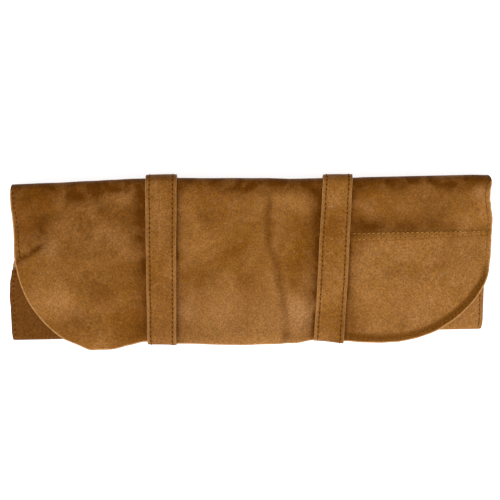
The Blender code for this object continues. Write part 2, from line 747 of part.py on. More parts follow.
def build():
    clear_scene()
    hide = material("hide", HIDE_COLOR, LEATHER_ROUGHNESS)
    ply = material("pocket_leather", PLY_COLOR, LEATHER_ROUGHNESS)
    under = material("lower_hide", LOWER_COLOR, LEATHER_ROUGHNESS)
    strap_skin = material("strap_leather", STRAP_COLOR, LEATHER_ROUGHNESS)
    stitching = material("stitching", THREAD_COLOR, THREAD_ROUGHNESS)
    steel = material("steel", STEEL_COLOR, STEEL_ROUGHNESS, 1.0)

    flap_carrier = add_pivot("flap_pivot", FLAP_PIVOT)
    lower_carrier = add_pivot("lower_flap_pivot", LOWER_FLAP_PIVOT)
    back_panel(hide)
    back_pocket(ply)
    back_guard(ply)
    lower_flap(under, lower_carrier)
    front_flap(hide, flap_carrier)
    flap_pocket(ply, flap_carrier)
    flap_guard(ply, flap_carrier)
    flap_threads(stitching, flap_carrier)
    inner_threads(stitching, lower_carrier)
    for strap in (Strap("left", LEFT_STRAP_TOP_X, LEFT_STRAP_BOTTOM_X),
                  Strap("right", RIGHT_STRAP_TOP_X, RIGHT_STRAP_BOTTOM_X)):
        strap_pieces(strap, strap_skin, ply, stitching, steel, flap_carrier)


build()
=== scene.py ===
"""Looks of a folded leather knife case with two straps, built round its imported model.

Lengths in the shape functions are millimetres, as they are in the part's source, and
turn into metres where a mesh is made. +X runs along the case to the right, +Y to the
top fold, +Z up from the surface that the case lies on.
"""
import math

import bmesh
import bpy
import numpy as np
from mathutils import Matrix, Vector, noise


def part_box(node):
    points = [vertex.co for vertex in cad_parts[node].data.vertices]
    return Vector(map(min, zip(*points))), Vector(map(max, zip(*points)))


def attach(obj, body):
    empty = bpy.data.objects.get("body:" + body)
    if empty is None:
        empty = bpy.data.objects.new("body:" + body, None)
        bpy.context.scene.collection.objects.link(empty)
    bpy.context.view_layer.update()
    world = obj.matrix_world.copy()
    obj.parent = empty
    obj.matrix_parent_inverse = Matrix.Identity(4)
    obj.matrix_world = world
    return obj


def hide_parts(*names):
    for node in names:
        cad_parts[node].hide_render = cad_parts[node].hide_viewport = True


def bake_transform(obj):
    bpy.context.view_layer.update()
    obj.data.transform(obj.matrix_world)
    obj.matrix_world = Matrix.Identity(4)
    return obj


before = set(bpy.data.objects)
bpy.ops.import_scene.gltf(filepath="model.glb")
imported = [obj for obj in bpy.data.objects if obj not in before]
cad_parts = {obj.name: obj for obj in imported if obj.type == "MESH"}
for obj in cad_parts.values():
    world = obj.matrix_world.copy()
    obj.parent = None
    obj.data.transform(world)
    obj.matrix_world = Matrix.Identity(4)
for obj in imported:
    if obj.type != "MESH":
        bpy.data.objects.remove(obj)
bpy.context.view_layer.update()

bl_info = {
    "name": "Leather Knife Case",
    "version": (1, 0, 0),
    "blender": (4, 5, 0),
    "location": "View3D > Sidebar > Knife Case",
    "description": "Folded leather knife case with two stitched straps",
    "category": "Object",
}

MM = 0.001

# The folded case, as in the part's source
CASE_DEPTH = 149.0
LEFT_X, RIGHT_X = -232.5, 232.5
FLAP_LEFT_X = -230.0
PANEL_RIGHT_X = 222.5
TOP_Y, BOTTOM_Y = 79.25, -69.75
FLAT_TOP_Y = 72.25
LOWER_FLAP_WIDTH = 66.0
LOBE_OVERHANG = 13.0
LEFT_CORNER = (76.0, 90.0)
RIGHT_CORNER = (82.0, 67.0)
CORNER_POWER = 1.65
HIDE = 1.5
PLY = 1.2
PLY_GAP = 0.3
BACK_LOW = 3.5
BACK_HIGH = 5.0
LOWER_FLAP_HIGH = 8.6
FLAP_HIGH = 12.2
POCKET_AIR = 4.2
TOP_FOLD = (7.0, 12.05, 8.55)
BOTTOM_FOLD = (3.4, 6.68, 3.18)
END_DROOP_LENGTH = 62.0
SEAM_INSET = 4.0
POCKET_MOUTH_X = 80.0
POCKET_DIVIDER_Y = 24.9
POCKET_RAMP = 13.0
DIVIDER_ROWS = (6.0, 1.8)
LEDGE_DROP = 2.2
BACK_JOIN_Y, BACK_STEP = 45.0, 4.0
PLY_TOP_Y, PLY_BOTTOM_Y = FLAT_TOP_Y - 4.0, BOTTOM_Y + 8.0
PLY_STEP, SEAM_STEP = 2.4, 1.5
GUARD_LENGTH = 252.0
BACK_GUARD_LENGTH = 124.0

# The straps
STRAP_WIDTH = 30.0
STRAP_STACK = 3.5
STRAP_TURN = (6.5, 5.1)
STRAP_SEAM_INSET = 3.8
SEAM_ACROSS = STRAP_WIDTH / 2 - STRAP_SEAM_INSET
# A ply's height over the hide, and its thickness
STRAP_OUTER, STRAP_LINING = (1.75, 1.75), (0.35, 1.35)
CATCH_EDGE = 0.25
STRAP_SPLIT_Y = 70.0
# Each strap's top and bottom middle, and how far its end is out of square
STRAPS = {"left": (-85.0, -87.2, -0.04), "right": (84.9, 74.4, -0.13)}
# Share of its full width at which each strap lies, pulled in where it is drawn tight
STRAP_SPREAD = {"left": [(-74, 0.93), (-10, 0.955), (76, 1.0)],
                "right": [(-74, 0.95), (0, 0.965), (76, 0.945)]}

# Where the leather lies a little off its plain shape: (place, shift) tables
TOP_EDGE_SHIFT = [(-230, -0.2), (-190, 0.5), (-152, 1.65), (-132, 2.4), (-110, 3.0), (-80, 3.1),
                  (-26, 2.0), (10, 1.3), (44, 0.0), (75, 0.1), (100, -0.1), (112, 0.25),
                  (216, 0.55), (230, 0.1)]
BOTTOM_EDGE_SHIFT = [(-184, 0.0), (-171, 0.9), (-154, -1.0), (-133, -3.5), (-119, -2.6), (-104, -1.0),
                     (-74, -3.6), (-45, -3.4), (-7, -2.5), (5, -2.2), (32, -3.6), (42, -4.45),
                     (60, -2.5), (90, -4.1), (102, -4.4), (120, -3.4), (138, -2.7), (158, -0.3),
                     (168, 0.5), (190, 1.1), (206, 1.4), (218, 0.0)]
STRAP_EDGE_SHIFT = [(-102, 0.7), (-84, 1.0), (-70, 0.5), (58, 1.5), (71, 0.7), (90, 0.5)]
LOWER_EDGE_SHIFT = [(-200, -2.2), (-140, -1.8), (-20, 0.0)]
LEFT_END_SHIFT = [(-40, 0.0), (0, 1.9), (12, 1.2), (36, 1.4), (46, 1.0), (58, 0.0), (68, -0.3),
                  (80, 0.6)]
RIGHT_END_SHIFT = [(-80, 0.0), (-62, -1.6), (-46, -2.9), (-14, -2.6), (6, -0.6), (16, 0.2),
                   (36, 1.4), (49, -0.4), (56, -1.35), (62, -1.0), (72, 0.6), (80, 0.4)]
LOWER_LEFT_SHIFT = [(-70, 0.6), (-60, -0.6), (-41, -1.65), (-30, -2.6), (-17, -2.25), (-6, -0.6),
                    (0, 0.0), (5, 1.2), (9, 3.4)]
LOWER_RIGHT_SHIFT = [(-70, -0.8), (-62, 0.2), (-30, 0.0), (0, 0.0)]
LEFT_TOP_CORNER = (75.5, 4.5, 1.3)
RIGHT_TOP_CORNER = (71.0, 8.5, 3.2)
# The slanting crease where the left lobe begins: its slope, and its y at x 0
LOBE_CREASE = (0.56, 131.6)
# The soft upright crease of the front: (y, x) along it
CREASE = [(-72, 33.0), (-49, 32.0), (-9, 26.0), (21, 17.7), (69, 17.7)]


def ease(value):
    """A smooth step from 0 at 0 to 1 at 1."""
    value = np.clip(value, 0.0, 1.0)
    return value * value * (3.0 - 2.0 * value)


def mix(low, high, share):
    """The value a share of the way from low to high."""
    return low + (high - low) * share


def eased_table(place, table):
    """Heights read from a table of (place, height), eased between its entries."""
    found = np.full(np.shape(place), float(table[0][1]))
    for (low, first), (high, second) in zip(table, table[1:]):
        step = mix(first, second, ease((place - low) / (high - low)))
        found = np.where(np.asarray(place) > low, step, found)
    return found


def fullness(x, y):
    """How far the layers stand apart at a place, 1 in the full middle of the case."""
    edge = [(BOTTOM_Y - LOBE_OVERHANG, -0.45), (BOTTOM_Y, 0.30), (BOTTOM_Y + 12, 0.30)]
    middle = eased_table(y, edge + [(BOTTOM_Y + 48, 1.0)])
    ends = eased_table(y, edge + [(BOTTOM_Y + 24, 0.12), (FLAT_TOP_Y - 54, 0.12),
                                  (FLAT_TOP_Y - 6, 1.0)])
    near_end = ease((np.abs(x) - (RIGHT_X - END_DROOP_LENGTH)) / END_DROOP_LENGTH)
    return mix(middle, ends, near_end)


def panel_x(share, y):
    """A place across the back panel, whose ends lean a little."""
    up = (y - BOTTOM_Y) / CASE_DEPTH
    return mix(mix(LEFT_X, FLAP_LEFT_X, up), mix(PANEL_RIGHT_X, RIGHT_X, up), share)


def overhang(x):
    """How far the front flap's straight edge hangs past the bottom fold."""
    return eased_table(x, [(-162.75, 13.0), (-102.2, 5.2), (-72.2, 5.2), (0, 9.0), (58.7, 5.2),
                           (88.7, 5.2), (127.9, 8.5)])


def corner_rise(corner, distance):
    """How far a rounded corner has risen at a distance into its length."""
    length, depth = corner
    share = np.clip(distance / length, 0.0, 1.0)
    return depth * (1.0 - (1.0 - share ** CORNER_POWER) ** (1.0 / CORNER_POWER))


def flap_edge(x):
    """The y of the front flap's free edge."""
    left = corner_rise(LEFT_CORNER, FLAP_LEFT_X + LEFT_CORNER[0] - x)
    right = corner_rise(RIGHT_CORNER, x - RIGHT_X + RIGHT_CORNER[0])
    return BOTTOM_Y - overhang(x) + left + right


def cloud(x, y, size, seed):
    """Soft noise between about -1 and 1, with lumps of a size in millimetres."""
    x, y = np.broadcast_arrays(np.asarray(x, float), np.asarray(y, float))
    values = [noise.noise(Vector((a / size, b / size, seed))) for a, b in zip(x.flat, y.flat)]
    return np.array(values).reshape(x.shape)


def bell(distance, width):
    """1 at no distance, easing to 0 at the width."""
    return ease(1.0 - np.abs(distance) / width)


def strap_centre(side, y):
    """The x of a strap's middle line."""
    top_x, bottom_x = STRAPS[side][:2]
    return mix(bottom_x, top_x, (y - BOTTOM_Y) / CASE_DEPTH)


def beside_straps(x, y, reach):
    """1 on and next to a strap, easing to 0 a reach beyond its edge."""
    near = [ease(1.0 - (np.abs(x - strap_centre(side, y)) - STRAP_WIDTH / 2) / reach)
            for side in STRAPS]
    return np.maximum(*near)


def strap_shade(x, y, reach):
    """Share of the painted shadow at a strap's edge: 1 there, easing to 0 a reach beyond it and a little
    way under it.
    """
    past = [np.abs(x - strap_centre(side, y)) - STRAP_WIDTH / 2 for side in STRAPS]
    return np.maximum(*[ease(1.0 - np.where(edge > 0, edge / reach, -edge / 6.0)) for edge in past])


def divider_row(x, row):
    """The y of a row of the double seam, whose second row runs in towards the first."""
    start, end = STRAPS["right"][0] + STRAP_WIDTH / 2, RIGHT_X - 2 * SEAM_INSET
    spread = mix(*DIVIDER_ROWS, (x - start) / (end - start))
    return POCKET_DIVIDER_Y - row * spread


def off_crease(x, y):
    """How far a place is to the right of the upright crease."""
    return x - eased_table(y, CREASE)


def off_lobe_crease(x, y):
    """How far a place is above the slanting crease where the left lobe begins."""
    return y - LOBE_CREASE[0] * x - LOBE_CREASE[1]


def relief(x, y):
    """How the front flap's leather lies above or below its plain shape."""
    lie = 0.75 * cloud(x, y, 62.0, 3.1) + 0.35 * cloud(x, y, 24.0, 7.7)
    beyond = off_crease(x, y)
    along = ease((66.0 - y) / 30.0)
    lie += 0.9 * along * (0.5 - ease((beyond + 6.5) / 13.0)) * ease(1 - np.abs(beyond) / 36)
    lie -= 0.55 * along * bell(beyond, 7.5)
    lie -= 0.6 * bell(off_lobe_crease(x, y), 5.0) * ease((-195.0 - x) / 10.0)
    right = ease((x - 92.0) / 6.0)
    row, ledge = divider_row(x, 0), divider_row(x, 1) - LEDGE_DROP
    lie -= 1.1 * right * bell(y - row - 5.0, 13.0) * ease((y - row + 1.0) / 4.0)
    lie += 0.35 * right * ease((row + 2.5 - y) / 3.0) * ease((y - ledge + 0.5) / 1.0)
    lie -= 0.55 * right * ease((ledge + 0.5 - y) / 1.0) * ease((y - ledge + 34.0) / 34.0)
    lie *= 1.0 - beside_straps(x, y, 26.0)
    lie -= 0.35 * beside_straps(x, y, 9.0)
    return lie * ease((FLAT_TOP_Y - y) / 14.0)


def flap_top(x, y):
    """Height of the front flap's outer face."""
    return FLAP_HIGH + 2 * POCKET_AIR * fullness(x, y) + relief(x, y)


def lower_flap_top(x, y):
    """Height of the lower flap's outer face."""
    return LOWER_FLAP_HIGH + POCKET_AIR * fullness(x, y)


def corner_inset(y, corner):
    """How far a rounded end of the top fold draws in."""
    start, length, depth = corner
    into = np.clip((y - start) / length, 0.0, 1.0)
    return depth * (1.0 - np.sqrt(1.0 - into ** 2))


def settle(points, kind="hide"):
    """Moves points as the whole case lies: its edges wave a little, in plan only."""
    x, y, z = points[..., 0], points[..., 1], points[..., 2]
    near_left = ease((-150.0 - x) / 70.0)
    near_right = ease((x - 150.0) / 70.0)
    left_table, right_table = LEFT_END_SHIFT, RIGHT_END_SHIFT
    if kind == "lower":
        left_table, right_table = LOWER_LEFT_SHIFT, LOWER_RIGHT_SHIFT
    shift_x = near_left * eased_table(y, left_table) + near_right * eased_table(y, right_table)
    shift_x += corner_inset(y, LEFT_TOP_CORNER) * ease((-200.0 - x) / 30.0)
    shift_x -= corner_inset(y, RIGHT_TOP_CORNER) * ease((x - 200.0) / 30.0)
    shift_y = eased_table(x, TOP_EDGE_SHIFT) * ease((y - 40.0) / 32.0)
    bottom = {"hide": BOTTOM_EDGE_SHIFT, "strap": STRAP_EDGE_SHIFT, "lower": LOWER_EDGE_SHIFT}[kind]
    shift_y = shift_y + eased_table(x, bottom) * ease((-35.0 - y) / 34.0)
    return np.stack([x + shift_x, y + shift_y, z], axis=-1)


def spaced(first, last, step):
    """Places from first to last, about a step apart, both ends included."""
    return np.linspace(first, last, max(2, int(round(abs(last - first) / step)) + 1))


def joined(*runs):
    """Runs of places end to end, without the doubles where they meet."""
    return np.concatenate([runs[0]] + [run[1:] for run in runs[1:]])


def quarter_turn(crest_y, fold, side, steps=9):
    """A quarter of a fold, from its crest to the flat: (y, z) rows."""
    reach, middle, rise = fold
    angle = np.linspace(0.0, math.pi / 2, steps)
    return np.stack([crest_y - reach * (1 - np.cos(angle)), middle + side * rise * np.sin(angle)], 1)


def grid_normals(grid):
    """Unit normals of a grid of points, from its neighbours."""
    across = np.gradient(grid, axis=0)
    along = np.gradient(grid, axis=1)
    normal = np.cross(along, across)
    return normal / np.maximum(np.linalg.norm(normal, axis=-1, keepdims=True), 1e-9)


def linear(code):
    """An sRGB hex colour as linear red, green and blue."""
    parts = [int(code[place:place + 2], 16) / 255 for place in (1, 3, 5)]
    return [part / 12.92 if part <= 0.04045 else ((part + 0.055) / 1.055) ** 2.4 for part in parts]


def add_node(tree, kind, inputs=None, **settings):
    """A node with its settings and its inputs, each a value or another node's output."""
    node = tree.nodes.new(kind)
    for name, value in settings.items():
        setattr(node, name, value)
    for name, value in (inputs or {}).items():
        if isinstance(value, bpy.types.NodeSocket):
            tree.links.new(value, node.inputs[name])
        else:
            node.inputs[name].default_value = value
    return node


def in_scene(name, data):
    """An object in the scene, from its mesh, lamp or camera."""
    item = bpy.data.objects.new(name, data)
    bpy.context.collection.objects.link(item)
    return item


def new_piece(name, points, faces, materials, slots=None, marks=None):
    """A mesh piece from points in millimetres, with a material slot for each face."""
    mesh = bpy.data.meshes.new(name)
    mesh.from_pydata((np.asarray(points) * MM).tolist(), [], np.asarray(faces).tolist())
    for material in materials:
        mesh.materials.append(material)
    if slots is not None:
        mesh.polygons.foreach_set("material_index", np.asarray(slots, dtype=np.int32))
    for mark, values in (marks or {}).items():
        attribute = mesh.attributes.new(mark, 'FLOAT', 'POINT')
        attribute.data.foreach_set("value", np.asarray(values, dtype=np.float32))
    mesh.update()
    mesh.shade_smooth()
    mesh.set_sharp_from_angle(angle=math.radians(50))
    return in_scene(name, mesh)


def slope_normals(x, y, height):
    """Unit normals of a sheet whose height is a function of x and y."""
    step = 0.4
    slope_x = (height(x + step, y) - height(x - step, y)) / (2 * step)
    slope_y = (height(x, y + step) - height(x, y - step)) / (2 * step)
    normal = np.stack([-slope_x, -slope_y, np.ones_like(slope_x)], -1)
    return normal / np.linalg.norm(normal, axis=-1, keepdims=True)


def leather_sheet(name, outer, thickness, materials, marks=None, cut=(1, 1, 1, 1), turned=False,
                  pale=True, normals=None):
    """A closed sheet of leather under a grid of points on its outer face.

    cut says which of its sides (first column, last column, first row, last row) are
    cut edges: there the arris is rounded and the outermost faces show the cut. The
    materials are those of the outer face, the inner face and the cut edge.
    """
    if normals is None:
        normals = grid_normals(outer) * (-1 if turned else 1)
    inner = outer - normals * thickness
    columns, rows = outer.shape[:2]
    sides = list(zip((np.s_[0, :], np.s_[-1, :], np.s_[:, 0], np.s_[:, -1]), cut))
    top = outer.copy()
    for place, is_cut in sides:
        if is_cut:
            top[place] = (outer - normals * 0.28 * thickness)[place]
    index = np.arange(columns * rows).reshape(columns, rows)
    half = columns * rows
    a, b, c, d = index[:-1, :-1], index[:-1, 1:], index[1:, 1:], index[1:, :-1]
    over = np.stack([a, b, c, d], -1).reshape(-1, 4)
    under = np.stack([a, d, c, b], -1).reshape(-1, 4) + half
    kind = np.zeros((columns - 1, rows - 1), dtype=int)
    for place, is_cut in sides:
        kind[place] = np.where(is_cut and pale, 2, kind[place])
    rims = []
    for line, turn in ((index[0, :], 1), (index[-1, :], -1), (index[:, 0], -1), (index[:, -1], 1)):
        first, second = line[:-1], line[1:]
        rim = np.stack([first, first + half, second + half, second], -1)
        rims.append(rim if turn > 0 else rim[:, ::-1])
    faces = np.concatenate([over, under] + rims)
    if turned:
        faces = faces[:, ::-1]
    slots = np.concatenate([kind.ravel(), np.ones(len(under)), np.full(sum(map(len, rims)), 2)])
    points = np.concatenate([top.reshape(-1, 3), inner.reshape(-1, 3)])
    both = {mark: np.concatenate([np.ravel(values)] * 2) for mark, values in (marks or {}).items()}
    return new_piece(name, points, faces, materials, slots, both)


def flap_columns(step):
    """The x of each column of the front flap, closing up towards its round corners."""
    def corner(start, end):
        count = int(abs(end - start) / step)
        shares = np.sin(np.linspace(0.0, math.pi / 2, count + 1))
        return mix(start, end, shares)

    left = corner(FLAP_LEFT_X + LEFT_CORNER[0], FLAP_LEFT_X)[::-1]
    right = corner(RIGHT_X - RIGHT_CORNER[0], RIGHT_X)
    return joined(left, spaced(left[-1], right[0], step), right)


def down_to_edge(x, first, step, inset=0.0):
    """Rows from a line down to the flap's edge, for all columns x: a grid of y.

    The rows lie level down to y 14, past every column's edge, and then close up.
    """
    level, reach = 14.0, 84.0
    upper = joined(spaced(first, 31.0, step), spaced(31.0, level, 0.6 * step))
    shares = spaced(0.0, reach, step) / reach
    last = np.array([0.955, 0.968, 0.98, 0.990, 1.0])
    shares = np.concatenate([shares[shares < 0.945], last])
    edge = flap_edge(x) + inset
    lower = level + (edge[:, None] - level) * shares[None, 1:]
    return np.concatenate([np.repeat(upper[None, :], len(x), 0), lower], axis=1)


def edge_distance(x, y):
    """About how far a place on the flap is from its free edge, in millimetres."""
    slope = np.abs(np.gradient(flap_edge(x[:, 0]), x[:, 0], edge_order=1))[:, None]
    drop = (y - flap_edge(x[:, 0])[:, None]) / np.sqrt(1 + np.minimum(slope, 8.0) ** 2)
    ends = np.minimum(x - FLAP_LEFT_X, RIGHT_X - x)
    return np.minimum(drop, ends)


# Waxier, darker places of the front: middle x and y, width, strength
BLOTS = [(-203.0, 29.0, 26.0, 0.50), (-166.0, -52.0, 24.0, 0.48), (-147.0, -26.0, 26.0, 0.32),
         (-222.0, 68.0, 24.0, 0.35), (-159.0, 71.0, 32.0, 0.30), (-11.0, 73.0, 36.0, 0.35),
         (-43.0, 42.0, 16.0, 0.30), (-46.0, -12.0, 24.0, 0.22), (-48.0, -69.0, 22.0, 0.20),
         (64.0, 34.0, 15.0, 0.40), (176.0, 44.0, 22.0, 0.38), (115.0, 31.0, 28.0, 0.25),
         (197.0, 71.0, 36.0, 0.30), (140.0, 70.0, 22.0, 0.20), (212.0, 3.0, 20.0, 0.15)]
# Paler places, where it was bent or rubbed; the one at x 222, y 64 is a painted highlight
RUBS_AND_HIGHLIGHT = [(-196.0, 17.0, 22.0, 0.45), (-186.0, -33.0, 26.0, 0.40), (-135.0, 30.0, 24.0, 0.22),
        (-122.0, 64.0, 16.0, 0.30), (-139.0, -62.0, 26.0, 0.22), (48.0, -50.0, 24.0, 0.35),
        (-64.0, -47.0, 18.0, 0.20), (39.0, 51.0, 20.0, 0.22), (222.0, 64.0, 15.0, 0.50),
        (115.0, 51.0, 20.0, 0.25), (171.0, 66.0, 13.0, 0.25), (206.0, 36.0, 18.0, 0.22),
        (163.0, -52.0, 34.0, 0.15)]
# Pale scuffed arcs of the right lower panel: middle x and y, radius, first and last angle
SCUFFS = [(189.0, -24.0, 9.5, 60.0, 245.0), (196.0, -8.0, 17.0, 250.0, 330.0),
          (168.0, -2.0, 24.0, 190.0, 240.0), (203.0, 8.0, 16.0, 60.0, 130.0)]


def hide_marks(grid, distance):
    """Where the hide's colour differs: tone, with painted light; painted shade along seams; and painted
    shade with darker blots.
    """
    x, y, z = grid[..., 0], grid[..., 1], grid[..., 2]
    front = ease((z - 4.5) / 3.0)
    right = ease((x - 92.0) / 5.0)
    left = ease((-72.0 - x) / 50.0)
    ledge = divider_row(x, 1) - LEDGE_DROP
    tone = 0.16 * right * ease((ledge - y) / 1.2) * front
    # Paler over the lower middle: painted light from the lower edge.
    tone += 0.34 * (1.0 - left) * (1.0 - right) * ease((12.0 - y) / 60.0) * front
    # Painted shade in a band inside the right curve's edge, where the flap turns down, and a line of
    # painted shade at the ledge's step.
    curve = ease((x - 88.0) / 8.0) * ease((2.0 - y) / 34.0) * front
    seam_shade = 1.5 * curve * ease((distance - 0.9) / 1.0) * ease((11.5 - distance) / 7.0)
    seam_shade += 0.55 * right * bell(y - ledge, 1.3) * front
    # Darker over the top fold: partly the hide's own colour, partly painted shade where the fold turns
    # away from the light.
    dark = 0.68 * ease((y - 58.0) / 15.0) + 0.40 * ease((y - 69.0) / 7.0)
    # Darker towards the left end, and darker towards the top as painted shade, with the light from the
    # lower edge.
    dark += left * (0.16 + 0.38 * ease((y + 15.0) / 55.0)) * front
    dark += 0.10 * (1.0 - left) * ease((y - 5.0) / 40.0) * front
    # Painted shade in the valley above the divider seam.
    dark += 0.70 * right * bell(y - divider_row(x, 0) - 6.5, 14.0) * ease((215.0 - x) / 90.0 + 0.25)
    # Painted shadow along each strap's edges, reaching a little under it.
    dark += (0.40 * strap_shade(x, y, 17.0) + 0.55 * strap_shade(x, y, 4.0)) * front
    # Painted shade to the left of each strap.
    for side in STRAPS:
        left_of = strap_centre(side, y) - STRAP_WIDTH / 2 - x
        dark += 0.30 * bell(left_of, 26.0) * ease((left_of + 8.0) / 8.0) * front
    for blot_x, blot_y, width, strength in BLOTS:
        away = np.hypot(x - blot_x, 1.15 * (y - blot_y)) * (1.0 + 0.35 * cloud(x, y, 17.0, 4.4))
        dark += strength * bell(away, width) * front
    for rub_x, rub_y, width, strength in RUBS_AND_HIGHLIGHT:
        away = np.hypot(x - rub_x, 1.15 * (y - rub_y)) * (1.0 + 0.35 * cloud(x, y, 15.0, 8.4))
        tone = tone + strength * bell(away, width) * front
        dark -= 0.6 * strength * bell(away, width) * front
    for arc_x, arc_y, radius, first, last in SCUFFS:
        turn = np.degrees(np.arctan2(y - arc_y, x - arc_x)) % 360.0
        within = ease((turn - first) / 15.0) * ease((last - turn) / 15.0)
        tone = tone + 0.42 * within * bell(np.hypot(x - arc_x, y - arc_y) - radius, 2.0) * front
    # Painted shade in the upright crease and in the slanting crease of the left lobe.
    dark += 0.55 * bell(off_crease(x, y), 7.5) * ease((70.0 - y) / 12.0) * front
    dark += 0.55 * bell(off_lobe_crease(x, y), 5.5) * ease((-198.0 - x) / 8.0) * front
    raw = ease((1.7 - distance) / 1.0) * front
    return {"tone": tone, "seam_shade": np.clip(seam_shade, 0.0, 1.0), "shade_and_blots": np.clip(dark, 0.0, 1.0),
            "raw": raw}


def make_front_hide(materials, step):
    """The front flap with the whole top fold and a strip of the back."""
    x = flap_columns(step)
    count = len(x)
    share = (x - FLAP_LEFT_X) / (RIGHT_X - FLAP_LEFT_X)
    back_y = spaced(BACK_JOIN_Y, FLAT_TOP_Y, BACK_STEP)[:-1]
    back = np.stack([panel_x(share[:, None], back_y[None, :]), np.tile(back_y, (count, 1)),
                     np.full((count, len(back_y)), BACK_LOW)], -1)
    low = quarter_turn(TOP_Y, TOP_FOLD, -1)[::-1]
    high = quarter_turn(TOP_Y, TOP_FOLD, 1)[1:-1]
    turn = np.concatenate([low, high])
    fold = np.stack([np.repeat(x[:, None], len(turn), 1), np.tile(turn[:, 0], (count, 1)),
                     np.tile(turn[:, 1], (count, 1))], -1)
    y = down_to_edge(x, FLAT_TOP_Y, step)
    wide = np.repeat(x[:, None], y.shape[1], 1)
    front = np.stack([wide, y, flap_top(wide, y)], -1)
    grid = np.concatenate([back, fold, front], axis=1)
    distance = np.concatenate([np.full((count, len(back_y) + len(turn)), 60.0),
                               edge_distance(wide, y)], axis=1)
    marks = hide_marks(grid, distance)
    outer = settle(grid)
    normals = grid_normals(outer)
    normals[:, -y.shape[1]:] = slope_normals(wide, y, flap_top)
    return leather_sheet("hide_front", outer, HIDE, materials, marks, (1, 1, 0, 1), normals=normals)


def make_lower_hide(materials, step):
    """The rest of the back, the bottom fold and the lower flap."""
    ends = joined(np.linspace(0.0, 0.2, 52), np.linspace(0.2, 0.8, 48), np.linspace(0.8, 1.0, 52))
    back_y = spaced(BACK_JOIN_Y, BOTTOM_Y + BOTTOM_FOLD[0], BACK_STEP)[:-1]
    reach, middle, rise = BOTTOM_FOLD
    fold = (-reach, middle, rise)
    turn = np.concatenate([quarter_turn(BOTTOM_Y, fold, -1, 7)[::-1],
                           quarter_turn(BOTTOM_Y, fold, 1, 7)[1:-1]])
    flat_y = spaced(BOTTOM_Y + reach, BOTTOM_Y + LOWER_FLAP_WIDTH, step)
    flat_y = np.append(flat_y[:-1], [flat_y[-1] - 0.8, flat_y[-1]])
    y = np.concatenate([back_y, turn[:, 0], flat_y])
    wide = panel_x(ends[:, None], y[None, :])
    tall = np.repeat(y[None, :], len(ends), 0)
    z = np.empty_like(wide)
    first, second = len(back_y), len(back_y) + len(turn)
    z[:, :first] = BACK_LOW
    z[:, first:second] = turn[None, :, 1]
    z[:, second:] = lower_flap_top(wide[:, second:], tall[:, second:])
    grid = np.stack([wide, tall, z], -1)
    ends_tone = np.where(wide < 0, -0.85, 0.3) * ease((z - 4.0) / 3.0)
    dark = 0.30 * ease((-60.0 - tall) / 10.0) * (wide < 0)
    marks = {"tone": ends_tone, "seam_shade": np.zeros_like(z), "shade_and_blots": dark}
    return leather_sheet("hide_lower", settle(grid, "lower"), HIDE, materials, marks, (1, 1, 0, 1),
                         turned=True, pale=False)


def pocket_swell(x, y, top, bottom, end):
    """1 where a pocket stands open, 0 where it is sewn down to its panel."""
    swell = ease((top - y) / POCKET_RAMP) * ease((y - bottom) / POCKET_RAMP)
    swell = swell * ease(np.abs(y - POCKET_DIVIDER_Y) / POCKET_RAMP)
    return swell * ease((end - x) / POCKET_RAMP)


def make_flap_ply(name, materials, step, first_x, last_x, swells):
    """A ply under the front flap, a pocket that swells or a flat guard."""
    x = flap_columns(step)
    x = x[(x > first_x) & (x < last_x)]
    x = np.concatenate([[first_x], x[1:-1], [last_x]])
    y = down_to_edge(x, PLY_TOP_Y, step, 0.8)
    wide = np.repeat(x[:, None], y.shape[1], 1)

    def underside(x, y):
        height = flap_top(x, y) - HIDE - PLY_GAP - PLY
        if swells:
            bottom = np.maximum(flap_edge(x), PLY_BOTTOM_Y)
            swell = pocket_swell(x, y, PLY_TOP_Y, bottom, last_x)
            height -= POCKET_AIR * fullness(x, y) * swell
        return height

    grid = settle(np.stack([wide, y, underside(wide, y)], -1))
    return leather_sheet(name, grid, PLY, materials, turned=True,
                         normals=-slope_normals(wide, y, underside))


def make_back_ply(name, materials, step, first_x, last_x, swells):
    """A ply on the back panel, whose lower corners follow the panel."""
    x = joined(spaced(first_x, last_x - 20.0, step * 1.5), spaced(last_x - 20.0, last_x, step))
    y = spaced(PLY_TOP_Y, PLY_BOTTOM_Y, step)
    wide, tall = np.meshgrid(x, y, indexing="ij")
    z = BACK_HIGH + PLY_GAP + PLY + 0.12 * cloud(wide, tall, 20.0, 5.0)
    if swells:
        swell = pocket_swell(wide, tall, PLY_TOP_Y, PLY_BOTTOM_Y, last_x)
        z = z + POCKET_AIR * fullness(wide, tall) * swell
    grid = settle(np.stack([wide, tall, z], -1), "lower")
    return leather_sheet(name, grid, PLY, materials)


